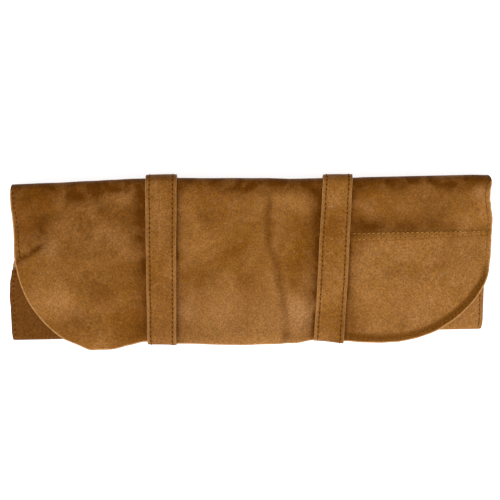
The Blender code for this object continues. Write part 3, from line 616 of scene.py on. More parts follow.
def strap_line(part, step=2.2):
    """The way of a strap on the hide: rows of (y, z), and their outward normals.

    It runs from the strap's back end, round the top fold and down the front to its
    tip. Part 0 ends past the top fold, where part 1 begins.
    """
    back_y = spaced(BOTTOM_Y - STRAP_TURN[0] - STRAP_STACK, FLAT_TOP_Y, step)
    back = np.stack([back_y, np.full(len(back_y), BACK_LOW)], 1)
    turn = np.concatenate([quarter_turn(TOP_Y, TOP_FOLD, -1)[::-1][1:],
                           quarter_turn(TOP_Y, TOP_FOLD, 1)[1:]])
    top_run = np.array([[STRAP_SPLIT_Y, FLAP_HIGH + 2 * POCKET_AIR]])
    front_y = spaced(STRAP_SPLIT_Y, BOTTOM_Y, step)[1:]
    front = np.stack([front_y, FLAP_HIGH + 2 * POCKET_AIR * fullness(0.0, front_y)], 1)
    reach, drop = STRAP_TURN
    angle = np.linspace(0.0, math.pi / 2, 8)[1:]
    crest = front[-1, 1]
    bend = np.stack([BOTTOM_Y - reach * np.sin(angle), crest - drop + drop * np.cos(angle)], 1)
    tip = np.stack([np.full(4, bend[-1, 0]), np.linspace(bend[-1, 1], BACK_LOW, 5)[1:]], 1)
    line = np.concatenate([back, turn, top_run, front, bend, tip])
    run = np.gradient(line, axis=0)
    normal = np.stack([run[:, 1], -run[:, 0]], 1)
    normal /= np.linalg.norm(normal, axis=1, keepdims=True)
    split = len(back) + len(turn)
    keep = np.s_[:split + 1] if part == 0 else np.s_[split:]
    return line[keep], normal[keep]


def strap_grid(side, part, across, lift, pressed_and_seam_shade=0.0):
    """A grid of points on a strap: across is its columns, lift their height off the hide.

    pressed is how much lower they stand on the back run, which the case lies on.
    """
    line, normal = strap_line(part)
    lift = np.broadcast_to(np.asarray(lift, float), (len(across),))[:, None]
    lift = lift - np.broadcast_to(pressed_and_seam_shade, (len(across),))[:, None] * ease(-normal[None, :, 1])
    y = line[None, :, 0] + normal[None, :, 0] * lift
    z = line[None, :, 1] + normal[None, :, 1] * lift
    x = strap_centre(side, y) + across[:, None] * eased_table(y, STRAP_SPREAD[side])
    x = x + 0.35 * cloud(y, z * 0.6, 38.0, 11.0 + part)
    front = (normal[None, :, 1] > -0.5) & (y < 0)
    y = y + np.where(front, STRAPS[side][2] * across[:, None] * ease((-30.0 - y) / 40.0), 0.0)
    return settle(np.stack([x, y, z], -1), "strap")


# Columns across a strap, close together at its edges and where its stitches pull it in
ACROSS = np.array([-15.0, -14.55, -13.6, -12.3, -11.6, -11.2, -10.8, -10.1, -8.4, -5.0, -1.7,
                   1.7, 5.0, 8.4, 10.1, 10.8, 11.2, 11.6, 12.3, 13.6, 14.55, 15.0])
# How much darker (or paler, below 0) a strap is along its front: (y, shade)
STRAP_SHADE = {"left": [(-70, -0.30), (-25, -0.20), (5, 0.05), (30, 0.30), (80, 0.20)],
               "right": [(-75, 0.10), (-30, -0.05), (20, -0.08), (80, -0.05)]}


def make_strap_ply(name, side, part, low, thickness, materials, outer):
    """One ply of a strap, with grooves where its two rows of stitches pull it in."""
    groove = 0.30 * bell(np.abs(ACROSS) - SEAM_ACROSS, 1.0)
    crown = 0.18 * (1.0 - (2 * ACROSS / STRAP_WIDTH) ** 2)
    if outer:
        grid = strap_grid(side, part, ACROSS, low + thickness + crown - groove, crown + 0.5 * groove)
    else:
        grid = strap_grid(side, part, ACROSS, low + thickness)
    ends = (1, 1, 1, 0) if part == 0 else (1, 1, 0, 1)
    wear, seam = (np.repeat(bell(np.abs(ACROSS) - place, width)[:, None], grid.shape[1], 1)
                  for place, width in ((13.6, 1.2), (SEAM_ACROSS, 0.8)))
    # Painted shade where the strap turns over the top fold, and darker at its bottom bend.
    dark = 0.5 * ease((grid[..., 1] - 76.0) / 7.0) + 0.25 * ease((-74.0 - grid[..., 1]) / 6.0)
    shade = eased_table(grid[..., 1], STRAP_SHADE[side])
    # Paler along its worn edges, and painted shade in the grooves of its two seams.
    marks = {"tone": 0.35 * wear + np.maximum(-shade, 0.0),
             "seam_shade": 0.45 * seam,
             "shade_and_blots": np.clip(dark + np.maximum(shade, 0.0), 0.0, 1.0)}
    return leather_sheet(name, grid, thickness, materials, marks, ends)


def make_catch(name, side, node):
    """A strap's magnet or steel plate: a bar with eased edges.

    It has its node's size and lies with its strap, whose end is a little out of square.
    """
    low, high = (np.array(corner[:]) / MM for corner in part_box(node))
    shape = bmesh.new()
    bmesh.ops.create_cube(shape, size=1.0)
    for vertex in shape.verts:
        vertex.co = (low + high) / 2 + np.array(vertex.co[:]) * (high - low)
    bmesh.ops.bevel(shape, geom=shape.edges[:], offset=CATCH_EDGE, segments=2, affect='EDGES')
    points = np.array([vertex.co[:] for vertex in shape.verts])
    if node.endswith("_magnet"):
        points[:, 1] += STRAPS[side][2] * (points[:, 0] - strap_centre(side, points[:, 1]))
    for vertex, point in zip(shape.verts, settle(points, "strap")):
        vertex.co = point * MM
    bmesh.ops.recalc_face_normals(shape, faces=shape.faces[:])
    mesh = bpy.data.meshes.new(name)
    shape.to_mesh(mesh)
    shape.free()
    return in_scene(name, mesh)


def seam_mesh(name, lines):
    """Seams as a mesh of edges, each point with the direction that its leather faces."""
    points, ups, edges = [], [], []
    for line, up in lines:
        first = len(points)
        points += (np.asarray(line) * MM).tolist()
        ups += np.asarray(up).tolist()
        edges += [(first + place, first + place + 1) for place in range(len(line) - 1)]
    mesh = bpy.data.meshes.new(name)
    mesh.from_pydata(points, edges, [])
    attribute = mesh.attributes.new("leather_up", 'FLOAT_VECTOR', 'POINT')
    attribute.data.foreach_set("vector", np.asarray(ups, dtype=np.float32).ravel())
    return in_scene(name, mesh)


STITCH_INPUTS = ("Stitch pitch", "Stitch length", "Thread radius", "Hole length", "Slant", "Seed")


def stitch_tree(thread, hole):
    """Geometry nodes that sew along the edges of a mesh: a thread and a hole per stitch."""
    tree = bpy.data.node_groups.new("saddle_stitch", 'GeometryNodeTree')
    face = tree.interface
    face.new_socket("Seams", in_out='INPUT', socket_type='NodeSocketGeometry')
    for name in STITCH_INPUTS[:-1]:
        face.new_socket(name, in_out='INPUT', socket_type='NodeSocketFloat')
    face.new_socket("Seed", in_out='INPUT', socket_type='NodeSocketInt')
    face.new_socket("Stitches", in_out='OUTPUT', socket_type='NodeSocketGeometry')
    given = add_node(tree, 'NodeGroupInput').outputs

    line = add_node(tree, 'GeometryNodeMeshToCurve', {"Mesh": given["Seams"]})
    points = add_node(tree, 'GeometryNodeCurveToPoints',
                      {"Curve": line.outputs["Curve"], "Length": given["Stitch pitch"]}, mode='LENGTH')
    up = add_node(tree, 'GeometryNodeInputNamedAttribute', {"Name": "leather_up"},
                  data_type='FLOAT_VECTOR')
    along = add_node(tree, 'FunctionNodeAlignRotationToVector',
                     {"Vector": points.outputs["Tangent"]}, axis='X')
    upright = add_node(tree, 'FunctionNodeAlignRotationToVector',
                       {"Rotation": along.outputs["Rotation"], "Vector": up.outputs["Attribute"]},
                       axis='Z', pivot_axis='X')
    wander = add_node(tree, 'FunctionNodeRandomValue',
                      {"Min": (0.0, 0.0, -0.07), "Max": (0.0, 0.0, 0.07), "Seed": given["Seed"]},
                      data_type='FLOAT_VECTOR')
    turned = add_node(tree, 'FunctionNodeRotateRotation',
                      {"Rotation": upright.outputs["Rotation"], "Rotate By": wander.outputs["Value"]},
                      rotation_space='LOCAL')

    # Shares of the sizes: how far a stitch reaches either way, and how deep and high it lies
    half, back, aside, sunk, proud, hole_off = (
        add_node(tree, 'ShaderNodeMath', {0: given[name], 1: share}, operation='MULTIPLY').outputs[0]
        for name, share in (("Stitch length", 0.5), ("Stitch length", -0.5), ("Slant", -1.0),
                            ("Thread radius", -0.9), ("Thread radius", 1.9), ("Stitch pitch", 0.5)))
    start, crown, end, hole_place = (
        add_node(tree, 'ShaderNodeCombineXYZ', {"X": x, "Y": y, "Z": z}).outputs[0]
        for x, y, z in ((back, aside, sunk), (0.0, 0.0, proud), (half, given["Slant"], sunk),
                        (hole_off, 0.0, 0.0)))
    arch = add_node(tree, 'GeometryNodeCurveQuadraticBezier',
                    {"Resolution": 6, "Start": start, "Middle": crown, "End": end})
    section = add_node(tree, 'GeometryNodeCurvePrimitiveCircle',
                       {"Resolution": 6, "Radius": given["Thread radius"]}, mode='RADIUS')
    strand = add_node(tree, 'GeometryNodeCurveToMesh',
                      {"Curve": arch.outputs["Curve"], "Profile Curve": section.outputs["Curve"],
                       "Fill Caps": True})

    # A hole is a flat dark lens at the end of its stitch, sunk to the leather's face: painted shade where
    # the hole goes into the leather.
    lens = add_node(tree, 'GeometryNodeMeshUVSphere',
                    {"Segments": 10, "Rings": 5, "Radius": given["Hole length"]})
    flat = add_node(tree, 'GeometryNodeTransform',
                    {"Geometry": lens.outputs["Mesh"], "Scale": (0.5, 0.27, 0.10),
                     "Translation": hole_place})

    both = add_node(tree, 'GeometryNodeJoinGeometry')
    for shape, material in ((strand.outputs["Mesh"], thread), (flat.outputs["Geometry"], hole)):
        placed = add_node(tree, 'GeometryNodeInstanceOnPoints',
                          {"Points": points.outputs["Points"], "Instance": shape,
                           "Rotation": turned.outputs["Rotation"]})
        real = add_node(tree, 'GeometryNodeRealizeInstances', {"Geometry": placed.outputs["Instances"]})
        done = add_node(tree, 'GeometryNodeSetMaterial',
                        {"Geometry": real.outputs["Geometry"], "Material": material})
        tree.links.new(done.outputs["Geometry"], both.inputs[0])
    add_node(tree, 'NodeGroupOutput', {"Stitches": both.outputs[0]})
    return tree


def sew(name, lines, tree, sizes):
    """Runs the stitch nodes along seams and leaves their result as a plain mesh."""
    guide = seam_mesh(name + "_guide", lines)
    modifier = guide.modifiers.new("stitches", 'NODES')
    modifier.node_group = tree
    for socket in tree.interface.items_tree:
        if socket.in_out == 'INPUT' and socket.name in sizes:
            modifier[socket.identifier] = sizes[socket.name]
    graph = bpy.context.evaluated_depsgraph_get()
    mesh = bpy.data.meshes.new_from_object(guide.evaluated_get(graph))
    mesh.name = name
    mesh.shade_smooth()
    bpy.data.objects.remove(guide)
    return in_scene(name, mesh)


def on_sheet(x, y, height, side=1.0, kind="hide"):
    """Points and normals of a seam on a sheet whose height is a function of x and y."""
    x, y = np.broadcast_arrays(np.asarray(x, float), np.asarray(y, float))
    return settle(np.stack([x, y, height(x, y)], -1), kind), slope_normals(x, y, height) * side


def curve_seam(inset, first_x):
    """The seam round the flap's right end: places a set way inside its outline."""
    side_y = spaced(FLAT_TOP_Y, 14.0, 2.0)
    turn = mix(RIGHT_X - RIGHT_CORNER[0], RIGHT_X, np.sin(np.linspace(math.pi / 2, 0, 90)))
    low = spaced(RIGHT_X - RIGHT_CORNER[0], first_x, 2.0)
    x = np.concatenate([np.full(len(side_y), RIGHT_X), turn, low[1:]])
    y = np.concatenate([side_y, flap_edge(turn), flap_edge(low[1:])])
    run = np.stack([np.gradient(x), np.gradient(y)], 1)
    run /= np.maximum(np.linalg.norm(run, axis=1, keepdims=True), 1e-9)
    return x + run[:, 1] * inset, y - run[:, 0] * inset


def strap_seam(side, part, across):
    """One row of stitches along a strap."""
    line = strap_grid(side, part, np.array([across]), STRAP_STACK + 0.02, 0.54)[0]
    normal = strap_line(part)[1]
    up = np.concatenate([np.zeros((len(normal), 1)), normal], 1)
    return (line[2:], up[2:]) if part == 0 else (line[:-2], up[:-2])


# What the wax's gloss is tinted with, and how far the paper is lifted
WAX_TINT = "#F0C090"
PAPER_GLOW = 0.68


def colour(values):
    """Linear red, green and blue as a socket's colour."""
    return (*values[:3], 1.0)


def per_metre(millimetres):
    """The scale of a noise whose lumps have a size in millimetres."""
    return 1000.0 / millimetres


def painted(tree, base, layers):
    """A base colour with others laid over it, each as far as its pattern says.

    A layer is its pattern, the pattern's limits and the shares there, and its colour.
    Without shares they are 0 and 1, and without limits the pattern is the share itself.
    """
    base = colour(base)
    for pattern, limits, tint in layers:
        if limits:
            names = ("From Min", "From Max", "To Min", "To Max")
            pattern = add_node(tree, 'ShaderNodeMapRange', {"Value": pattern, **dict(zip(names, limits))},
                               interpolation_type='SMOOTHSTEP').outputs["Result"]
        # A colour mix has its factor at 0 and its colours at 6 and 7.
        base = add_node(tree, 'ShaderNodeMix', {0: pattern, 6: base, 7: colour(tint)},
                        data_type='RGBA', clamp_result=True).outputs[2]
    return base


def waxed_hide(tree, colours, sizes, mottle=1.0):
    """Waxed pull-up cowhide, nubuck buffed and then oiled and waxed by hand.

    The wax stands unevenly in the buffed nap: cloudy patches some centimetres wide,
    a fine sandy grain, paler where the hide was bent or rubbed, with painted light and a painted
    highlight, and darker with painted shade and with darker blots.
    """
    place = add_node(tree, 'ShaderNodeTexCoord').outputs["Object"]
    big, middle, small, grit, grain, ridges, regions = (
        add_node(tree, 'ShaderNodeTexNoise',
                 {"Vector": place, "Scale": per_metre(size), "Detail": detail, "Roughness": roughness,
                  "Distortion": distortion}).outputs["Fac"]
        for size, detail, roughness, distortion in (
            (74.0, 3.0, 0.55, 0.8), (19.0, 3.0, 0.6, 0.4), (5.5, 3.0, 0.6, 0.0), (2.7, 2.0, 0.6, 0.0),
            (1.3, 1.5, 0.6, 0.0), (46.0, 2.0, 0.5, 1.6), (31.0, 1.0, 0.5, 0.0)))
    tone, seam_shade, shade_and_blots, raw = (
        add_node(tree, 'ShaderNodeAttribute', attribute_name=mark).outputs["Fac"]
        for mark in ("tone", "seam_shade", "shade_and_blots", "raw"))

    # Pull-up lines: fine pale scratches in some regions, where a ridged noise passes its middle.
    offset = add_node(tree, 'ShaderNodeMath', {0: ridges, 1: 0.5}, operation='SUBTRACT').outputs[0]
    away = add_node(tree, 'ShaderNodeMath', {0: offset}, operation='ABSOLUTE').outputs[0]
    mean = sizes.hide_roughness
    line, region, uneven, coarse, fine, rough = (
        add_node(tree, 'ShaderNodeMapRange',
                 {"Value": pattern, "From Min": low, "From Max": high, "To Min": first, "To Max": last},
                 interpolation_type='SMOOTHSTEP').outputs["Result"]
        for pattern, low, high, first, last in (
            (away, 0.0, 0.006, 1.0, 0.0), (regions, 0.56, 0.68, 0.0, 1.0),
            (middle, 0.3, 0.7, 0.55, 1.15), (grain, 0.34, 0.66, 0.78, 1.24),
            (grit, 0.32, 0.68, 0.90, 1.11), (middle, 0.3, 0.7, mean - 0.09, mean + 0.09)))
    scratch = add_node(tree, 'ShaderNodeMath', {0: line, 1: region}, operation='MULTIPLY').outputs[0]
    scratched, shaded_and_soiled, pressed_and_seam_shade, cut, sand = (
        add_node(tree, 'ShaderNodeMath', {0: first, 1: second}, operation='MULTIPLY',
                 use_clamp=clamped).outputs[0]
        for first, second, clamped in (
            (scratch, 0.5, False), (shade_and_blots, uneven, True), (seam_shade, 0.92, False), (raw, 0.75, False),
            (coarse, fine, False)))

    body = painted(tree, colours.wax_deep, (
        (big, (0.34, 0.66), colours.wax_light),
        (middle, (0.36, 0.68, 0.0, 0.62), colours.wax_mid),
        (small, (0.52, 0.75, 0.0, 0.38 * mottle), colours.wax_deep),
        (small, (0.25, 0.45, 0.34 * mottle, 0.0), colours.rubbed_and_lit),
        (scratched, None, colours.rubbed_and_lit),
        (tone, (0.0, 1.0), colours.rubbed_and_lit),
        (tone, (0.0, -1.0), colours.under),
        # Painted shade with darker blots.
        (shaded_and_soiled, None, colours.shade_and_soil),
        # Painted shade along seams.
        (pressed_and_seam_shade, None, colours.seam_shade_dark),
        (cut, None, colours.cut_edge)))
    grey = add_node(tree, 'ShaderNodeCombineColor', {0: sand, 1: sand, 2: sand}).outputs[0]
    sanded = add_node(tree, 'ShaderNodeMix', {0: 1.0, 6: body, 7: grey}, data_type='RGBA',
                      blend_type='MULTIPLY', clamp_result=True).outputs[2]

    grained = add_node(tree, 'ShaderNodeBump',
                       {"Strength": 0.35, "Distance": 0.22 * MM, "Height": grain}).outputs["Normal"]
    bump = add_node(tree, 'ShaderNodeBump', {"Strength": 0.5, "Distance": 0.8 * MM, "Height": small,
                                             "Normal": grained}).outputs["Normal"]
    return {"Base Color": sanded, "Roughness": rough, "Specular IOR Level": 0.18,
            "Specular Tint": colour(linear(WAX_TINT)), "Normal": bump}


def suede_side(tree, colours):
    """Split suede, the hide's flesh side: a short matt nap, a little cloudy where it was stroked."""
    place = add_node(tree, 'ShaderNodeTexCoord').outputs["Object"]
    stroked, nap = (
        add_node(tree, 'ShaderNodeTexNoise', {"Vector": place, "Scale": per_metre(size), "Detail": 2.0,
                                              "Roughness": roughness}).outputs["Fac"]
        for size, roughness in ((34.0, 0.5), (0.9, 0.7)))
    body = painted(tree, colours.suede_dark, (
        (stroked, (0.25, 0.75), colours.suede),
        (nap, (0.35, 0.75, 0.0, 0.35), colours.suede_dark)))
    bump = add_node(tree, 'ShaderNodeBump', {"Strength": 0.6, "Distance": 0.3 * MM, "Height": nap})
    return {"Base Color": body, "Roughness": 0.92, "Specular IOR Level": 0.05, "Sheen Weight": 0.12,
            "Sheen Roughness": 0.6, "Sheen Tint": colour(linear("#E8C9A0")),
            "Normal": bump.outputs["Normal"]}


def cut_edge(tree, colours):
    """Raw cut leather edge, unpainted: pale packed fibres in layers along the edge."""
    place = add_node(tree, 'ShaderNodeTexCoord').outputs["Object"]
    fibres, worn = (
        add_node(tree, 'ShaderNodeTexNoise', {"Vector": place, "Scale": per_metre(size),
                                              "Detail": detail, "Roughness": roughness}).outputs["Fac"]
        for size, detail, roughness in ((0.9, 3.0, 0.7), (11.0, 2.0, 0.5)))
    body = painted(tree, colours.cut_edge, (
        (fibres, (0.35, 0.7, 0.0, 0.45), colours.wax_light),
        (worn, (0.50, 0.72, 0.0, 0.55), colours.wax_mid)))
    bump = add_node(tree, 'ShaderNodeBump', {"Strength": 0.6, "Distance": 0.2 * MM, "Height": fibres})
    return {"Base Color": body, "Roughness": 0.85, "Specular IOR Level": 0.25,
            "Normal": bump.outputs["Normal"]}


def waxed_thread(tree, clean, shaded_and_soiled):
    """Waxed polyester thread, three plies twisted: soft gloss, fine slanting twist."""
    place = add_node(tree, 'ShaderNodeTexCoord').outputs["Object"]
    twist = add_node(tree, 'ShaderNodeTexWave',
                     {"Vector": place, "Scale": per_metre(0.5) / 6.28, "Distortion": 2.0},
                     bands_direction='DIAGONAL').outputs["Fac"]
    shade_and_soil = add_node(tree, 'ShaderNodeTexNoise',
                       {"Vector": place, "Scale": per_metre(9.0), "Detail": 2.0}).outputs["Fac"]
    # Painted shade in the grooves between the twisted plies, in the darker colour.
    between = add_node(tree, 'ShaderNodeMath', {0: twist, 1: 0.25}, operation='MULTIPLY').outputs[0]
    body = painted(tree, clean, ((shade_and_soil, (0.35, 0.7), shaded_and_soiled), (between, None, shaded_and_soiled)))
    bump = add_node(tree, 'ShaderNodeBump', {"Strength": 0.5, "Distance": 0.1 * MM, "Height": twist})
    return {"Base Color": body, "Roughness": 0.6, "Specular IOR Level": 0.15,
            "Specular Tint": colour(linear(WAX_TINT)), "Normal": bump.outputs["Normal"]}


def awl_hole(tree, colours):
    """The inside of an awl's hole: dark oiled leather that takes no light, with the shade of the hole's
    depth painted in.
    """
    place = add_node(tree, 'ShaderNodeTexCoord').outputs["Object"]
    burr = add_node(tree, 'ShaderNodeTexNoise',
                    {"Vector": place, "Scale": per_metre(0.8), "Detail": 2.0}).outputs["Fac"]
    body = painted(tree, colours.hole, [(burr, (0.4, 0.8, 0.0, 0.4), colours.shade_and_soil)])
    return {"Base Color": body, "Roughness": 1.0, "Specular IOR Level": 0.0}


def plated_steel(tree):
    """Nickel-plated steel strip, brushed along its length: bright, with fine hairlines."""
    place = add_node(tree, 'ShaderNodeTexCoord').outputs["Object"]
    drawn = add_node(tree, 'ShaderNodeMapping', {"Vector": place, "Scale": (0.06, 1.0, 1.0)})
    hairline = add_node(tree, 'ShaderNodeTexNoise', {"Vector": drawn.outputs["Vector"], "Detail": 3.0,
                                                     "Scale": per_metre(0.5)}).outputs["Fac"]
    body = painted(tree, linear("#A9A8A4"), [(hairline, (0.3, 0.7), linear("#C9C7C2"))])
    rough = add_node(tree, 'ShaderNodeMapRange', {"Value": hairline, "From Min": 0.3, "From Max": 0.7,
                                                  "To Min": 0.26, "To Max": 0.42},
                     interpolation_type='SMOOTHSTEP').outputs["Result"]
    return {"Base Color": body, "Metallic": 1.0, "Roughness": rough}


def seen_directly(tree):
    """1 for what the camera sees, straight or in a gloss or a clear thing, and 0 for light."""
    path = add_node(tree, 'ShaderNodeLightPath').outputs
    seen = path["Is Camera Ray"]
    for other in ("Is Glossy Ray", "Is Transmission Ray"):
        seen = add_node(tree, 'ShaderNodeMath', {0: seen, 1: path[other]}, operation='MAXIMUM').outputs[0]
    return seen


def white_paper(tree):
    """Seamless white studio paper: matt, and lifted to white where nothing shades it."""
    glow = add_node(tree, 'ShaderNodeMath', {0: seen_directly(tree), 1: PAPER_GLOW},
                    operation='MULTIPLY').outputs[0]
    return {"Base Color": (0.86, 0.86, 0.86, 1.0), "Roughness": 0.95, "Specular IOR Level": 0.1,
            "Emission Color": (1.0, 1.0, 1.0, 1.0), "Emission Strength": glow}


def make_material(name, finish, *details):
    """A material made once and shared by its pieces, where finish gives its shader's inputs."""
    if name in bpy.data.materials:
        return bpy.data.materials[name]
    material = bpy.data.materials.new(name)
    material.use_nodes = True
    tree = material.node_tree
    tree.nodes.clear()
    shader = add_node(tree, 'ShaderNodeBsdfPrincipled', finish(tree, *details))
    add_node(tree, 'ShaderNodeOutputMaterial', {"Surface": shader.outputs["BSDF"]})
    return material


def length(name, description, millimetres, **limits):
    """A property for a length in the scene's units, whose default is in millimetres."""
    return bpy.props.FloatProperty(name=name, description=description, default=millimetres * MM,
                                   subtype='DISTANCE', unit='LENGTH', **limits)


class KnifeCaseSizes(bpy.types.PropertyGroup):
    """Sizes that a user would change."""

    mesh_step: length("Mesh step", "Distance between the hide's rows of points", 1.5,
                      min=0.8 * MM, max=6.0 * MM)
    stitch_pitch: length("Stitch pitch", "Distance from one awl hole to the next", 4.5, min=2.0 * MM)
    stitch_length: length("Stitch length", "Visible length of one stitch", 2.9, min=1.0 * MM)
    thread_radius: length("Thread radius", "Half of the thread's thickness", 0.34, min=0.1 * MM)
    hole_length: length("Hole length", "Length of one awl hole along the seam", 2.2, min=0.3 * MM)
    stitch_slant: length("Stitch slant", "How far a stitch's ends lie to either side of its seam", 0.14,
                         min=0.0)
    hide_roughness: bpy.props.FloatProperty(
        name="Hide roughness", description="Mean roughness of the waxed grain",
        default=0.62, min=0.2, max=1.0, subtype='FACTOR')


def leather_colour(name, description, code):
    """A colour property whose default is an sRGB hex value."""
    return bpy.props.FloatVectorProperty(name=name, description=description, size=3, min=0.0,
                                         max=1.0, subtype='COLOR', default=linear(code))


class KnifeCaseColours(bpy.types.PropertyGroup):
    """Colours of the leather and thread."""

    wax_light: leather_colour("Wax, light", "Hide where the wax stands thin", "#A06C36")
    wax_mid: leather_colour("Wax, middle", "The hide's general colour", "#936125")
    wax_deep: leather_colour("Wax, deep", "Hide where the wax is deep", "#7A470A")
    # This colour is also painted light over the lower middle and one painted highlight.
    rubbed_and_lit: leather_colour("Rubbed", "Hide that was rubbed or bent pale", "#AC7B4C")
    # This colour is painted shade, and the dark of darker blots.
    shade_and_soil: leather_colour("Handled", "Hide that is dark from folding and handling", "#5A2F00")
    # This colour is painted shade along seams and inside the right curve's edge.
    seam_shade_dark: leather_colour("Burnished", "The band that was pressed dark along a seam", "#663902")
    under: leather_colour("Under layer", "The lower flap's darker end", "#6A3E12")
    suede: leather_colour("Suede", "Flesh side with its nap up", "#B08A5E")
    suede_dark: leather_colour("Suede, stroked", "Flesh side with its nap laid down", "#A47E53")
    cut_edge: leather_colour("Cut edge", "Raw fibres of a cut edge", "#C8955C")
    thread_bright: leather_colour("Thread, clean", "Waxed thread of the divider seams", "#C08A3C")
    # The middle and darkest thread colours are also the painted shade between the plies of the golden and
    # the oiled thread.
    thread: leather_colour("Thread", "Waxed thread", "#96652A")
    thread_dark: leather_colour("Thread, soiled", "Waxed thread where it has taken oil", "#704818")
    hole: leather_colour("Awl hole", "Inside of a hole", "#4E260E")


class KnifeCaseStudio(bpy.types.PropertyGroup):
    """Light and camera."""

    key_strength: bpy.props.FloatProperty(
        name="Key light", description="Strength of the soft light from the case's lower edge",
        default=1.9, min=0.0)
    sky_strength: bpy.props.FloatProperty(
        name="Sky light", description="Strength of the even light from all round", default=0.52, min=0.0)
    camera_height: length("Camera height", "Height of the camera above the table", 1354.5, min=0.2)
    camera_turn: bpy.props.FloatProperty(
        name="Camera turn", description="How far the camera is turned against the case",
        default=math.radians(-1.1), subtype='ANGLE', unit='ROTATION')


def settings():
    """The sizes, colours and studio values of the scene."""
    scene = bpy.context.scene
    return scene.knife_case_sizes, scene.knife_case_colours, scene.knife_case_studio


def hide_materials():
    """Grain, flesh side and cut edge of the hide."""
    sizes, colours = settings()[:2]
    return [make_material("waxed_pull_up_cowhide", waxed_hide, colours, sizes),
            make_material("split_suede_flesh_side", suede_side, colours),
            make_material("raw_cut_leather_edge", cut_edge, colours)]


# Half of the table's side, in metres, and the camera's place off the case's middle
TABLE_REACH = 6.0
CAMERA_OFF = (-0.7, 11.1)


def bend_with_flap(piece):
    """Bakes a piece's transform into its mesh."""
    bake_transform(piece)


def bend_strap_turn(piece):
    """Bakes a piece's transform into its mesh."""
    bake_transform(piece)


class KNIFECASE_OT_hide(bpy.types.Operator):
    """Make the case's one hide: front flap, back and lower flap."""

    bl_idname = "knife_case.hide"
    bl_label = "Hide"

    def execute(self, context):
        step = settings()[0].mesh_step / MM
        front = make_front_hide(hide_materials(), step)
        bend_with_flap(front)
        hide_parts("front_flap", "back_panel")
        lower = make_lower_hide(hide_materials(), step * 1.25)
        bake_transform(lower)
        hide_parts("back_panel", "lower_flap")
        return {'FINISHED'}


class KNIFECASE_OT_pockets(bpy.types.Operator):
    """Make the blade pockets and the handle guards of split suede."""

    bl_idname = "knife_case.pockets"
    bl_label = "Pockets and guards"

    def execute(self, context):
        suede, edge = hide_materials()[1:]
        skins = [suede, suede, edge]
        plies = [
            (make_flap_ply("flap_pocket_ply", skins, PLY_STEP, POCKET_MOUTH_X, RIGHT_X - 0.8, True),
             "flap", "flap_pocket"),
            (make_flap_ply("flap_guard_ply", skins, PLY_STEP, FLAP_LEFT_X + 0.8,
                           FLAP_LEFT_X + GUARD_LENGTH, False),
             "flap", "flap_guard"),
            (make_back_ply("back_pocket_ply", skins, PLY_STEP, POCKET_MOUTH_X, PANEL_RIGHT_X - 4.0, True),
             "case", "back_pocket"),
            (make_back_ply("back_guard_ply", skins, PLY_STEP, LEFT_X + 4.0,
                           LEFT_X + BACK_GUARD_LENGTH, False),
             "case", "back_guard")]
        for piece, body, node in plies:
            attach(piece, body)
            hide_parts(node)
        return {'FINISHED'}


class KNIFECASE_OT_straps(bpy.types.Operator):
    """Make the two straps, each of an outer ply and a lining."""

    bl_idname = "knife_case.straps"
    bl_label = "Straps"

    def execute(self, context):
        sizes, colours = settings()[:2]
        suede, edge = hide_materials()[1:]
        hide = make_material("waxed_strap_cowhide", waxed_hide, colours, sizes, 1.6)
        skins = [hide, suede, edge]
        for side in STRAPS:
            stem = "strap_" + side
            for part, run in ((0, "back"), (1, "front")):
                outer = make_strap_ply(stem + "_" + run + "_outer", side, part, *STRAP_OUTER, skins, True)
                lining = make_strap_ply(stem + "_" + run + "_inner", side, part, *STRAP_LINING, skins,
                                        False)
                for piece, node in ((outer, ""), (lining, "_lining")):
                    if part == 0:
                        bend_strap_turn(piece)
                        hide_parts(stem + "_back" + node, stem + "_top" + node)
                    else:
                        bend_strap(piece)
                        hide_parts(stem + "_front" + node)
        return {'FINISHED'}


def bend_strap(piece):
    """Bakes a piece's transform into its mesh."""
    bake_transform(piece)


class KNIFECASE_OT_stitches(bpy.types.Operator):
    """Sew every seam: the straps, the flap's ends, divider and curve, and the plies inside."""

    bl_idname = "knife_case.stitches"
    bl_label = "Stitches"

    def execute(self, context):
        sizes, colours = settings()[:2]
        hole = make_material("awl_hole_in_leather", awl_hole, colours)
        oiled = make_material("oiled_waxed_thread", waxed_thread, colours.thread, colours.thread_dark)
        golden = make_material("golden_waxed_thread", waxed_thread, colours.thread_bright,
                               colours.thread)
        tree, bright_tree = stitch_tree(oiled, hole), stitch_tree(golden, hole)
        values = {"Stitch pitch": sizes.stitch_pitch, "Stitch length": sizes.stitch_length,
                  "Thread radius": sizes.thread_radius, "Hole length": sizes.hole_length,
                  "Slant": sizes.stitch_slant, "Seed": 7}

        left, curve, divider, inner = flap_seams()
        subtle = {**values, "Hole length": 0.62 * sizes.hole_length}
        inner = sew("flap_inner_stitches", inner, tree, subtle)
        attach(inner, "flap")
        left = sew("flap_left_stitches", left, tree, values)
        bend_with_flap(left)
        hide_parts("flap_left_thread")
        curve = sew("flap_curve_stitches", curve, tree, subtle)
        bend_with_flap(curve)
        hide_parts("flap_curve_thread")
        double = sew("flap_divider_stitches", divider, bright_tree,
                     {**subtle, "Thread radius": 1.25 * sizes.thread_radius})
        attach(double, "flap")
        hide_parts("flap_divider_thread")
        lower = sew("lower_flap_stitches", lower_flap_seams(), tree, values)
        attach(lower, "lower_flap")
        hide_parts("lower_flap_left_thread", "lower_flap_right_thread")
        back = sew("back_stitches", back_seams(), tree, values)
        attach(back, "case")
        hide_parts("back_pocket_thread")
        for side in STRAPS:
            for part, run in ((0, "back"), (1, "front")):
                rows = [strap_seam(side, part, across) for across in (-SEAM_ACROSS, SEAM_ACROSS)]
                piece = sew("strap_" + side + "_" + run + "_stitches", rows, tree, values)
                if part == 0:
                    bend_strap_turn(piece)
                else:
                    bend_strap(piece)
                    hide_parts("strap_" + side + "_thread")
        return {'FINISHED'}


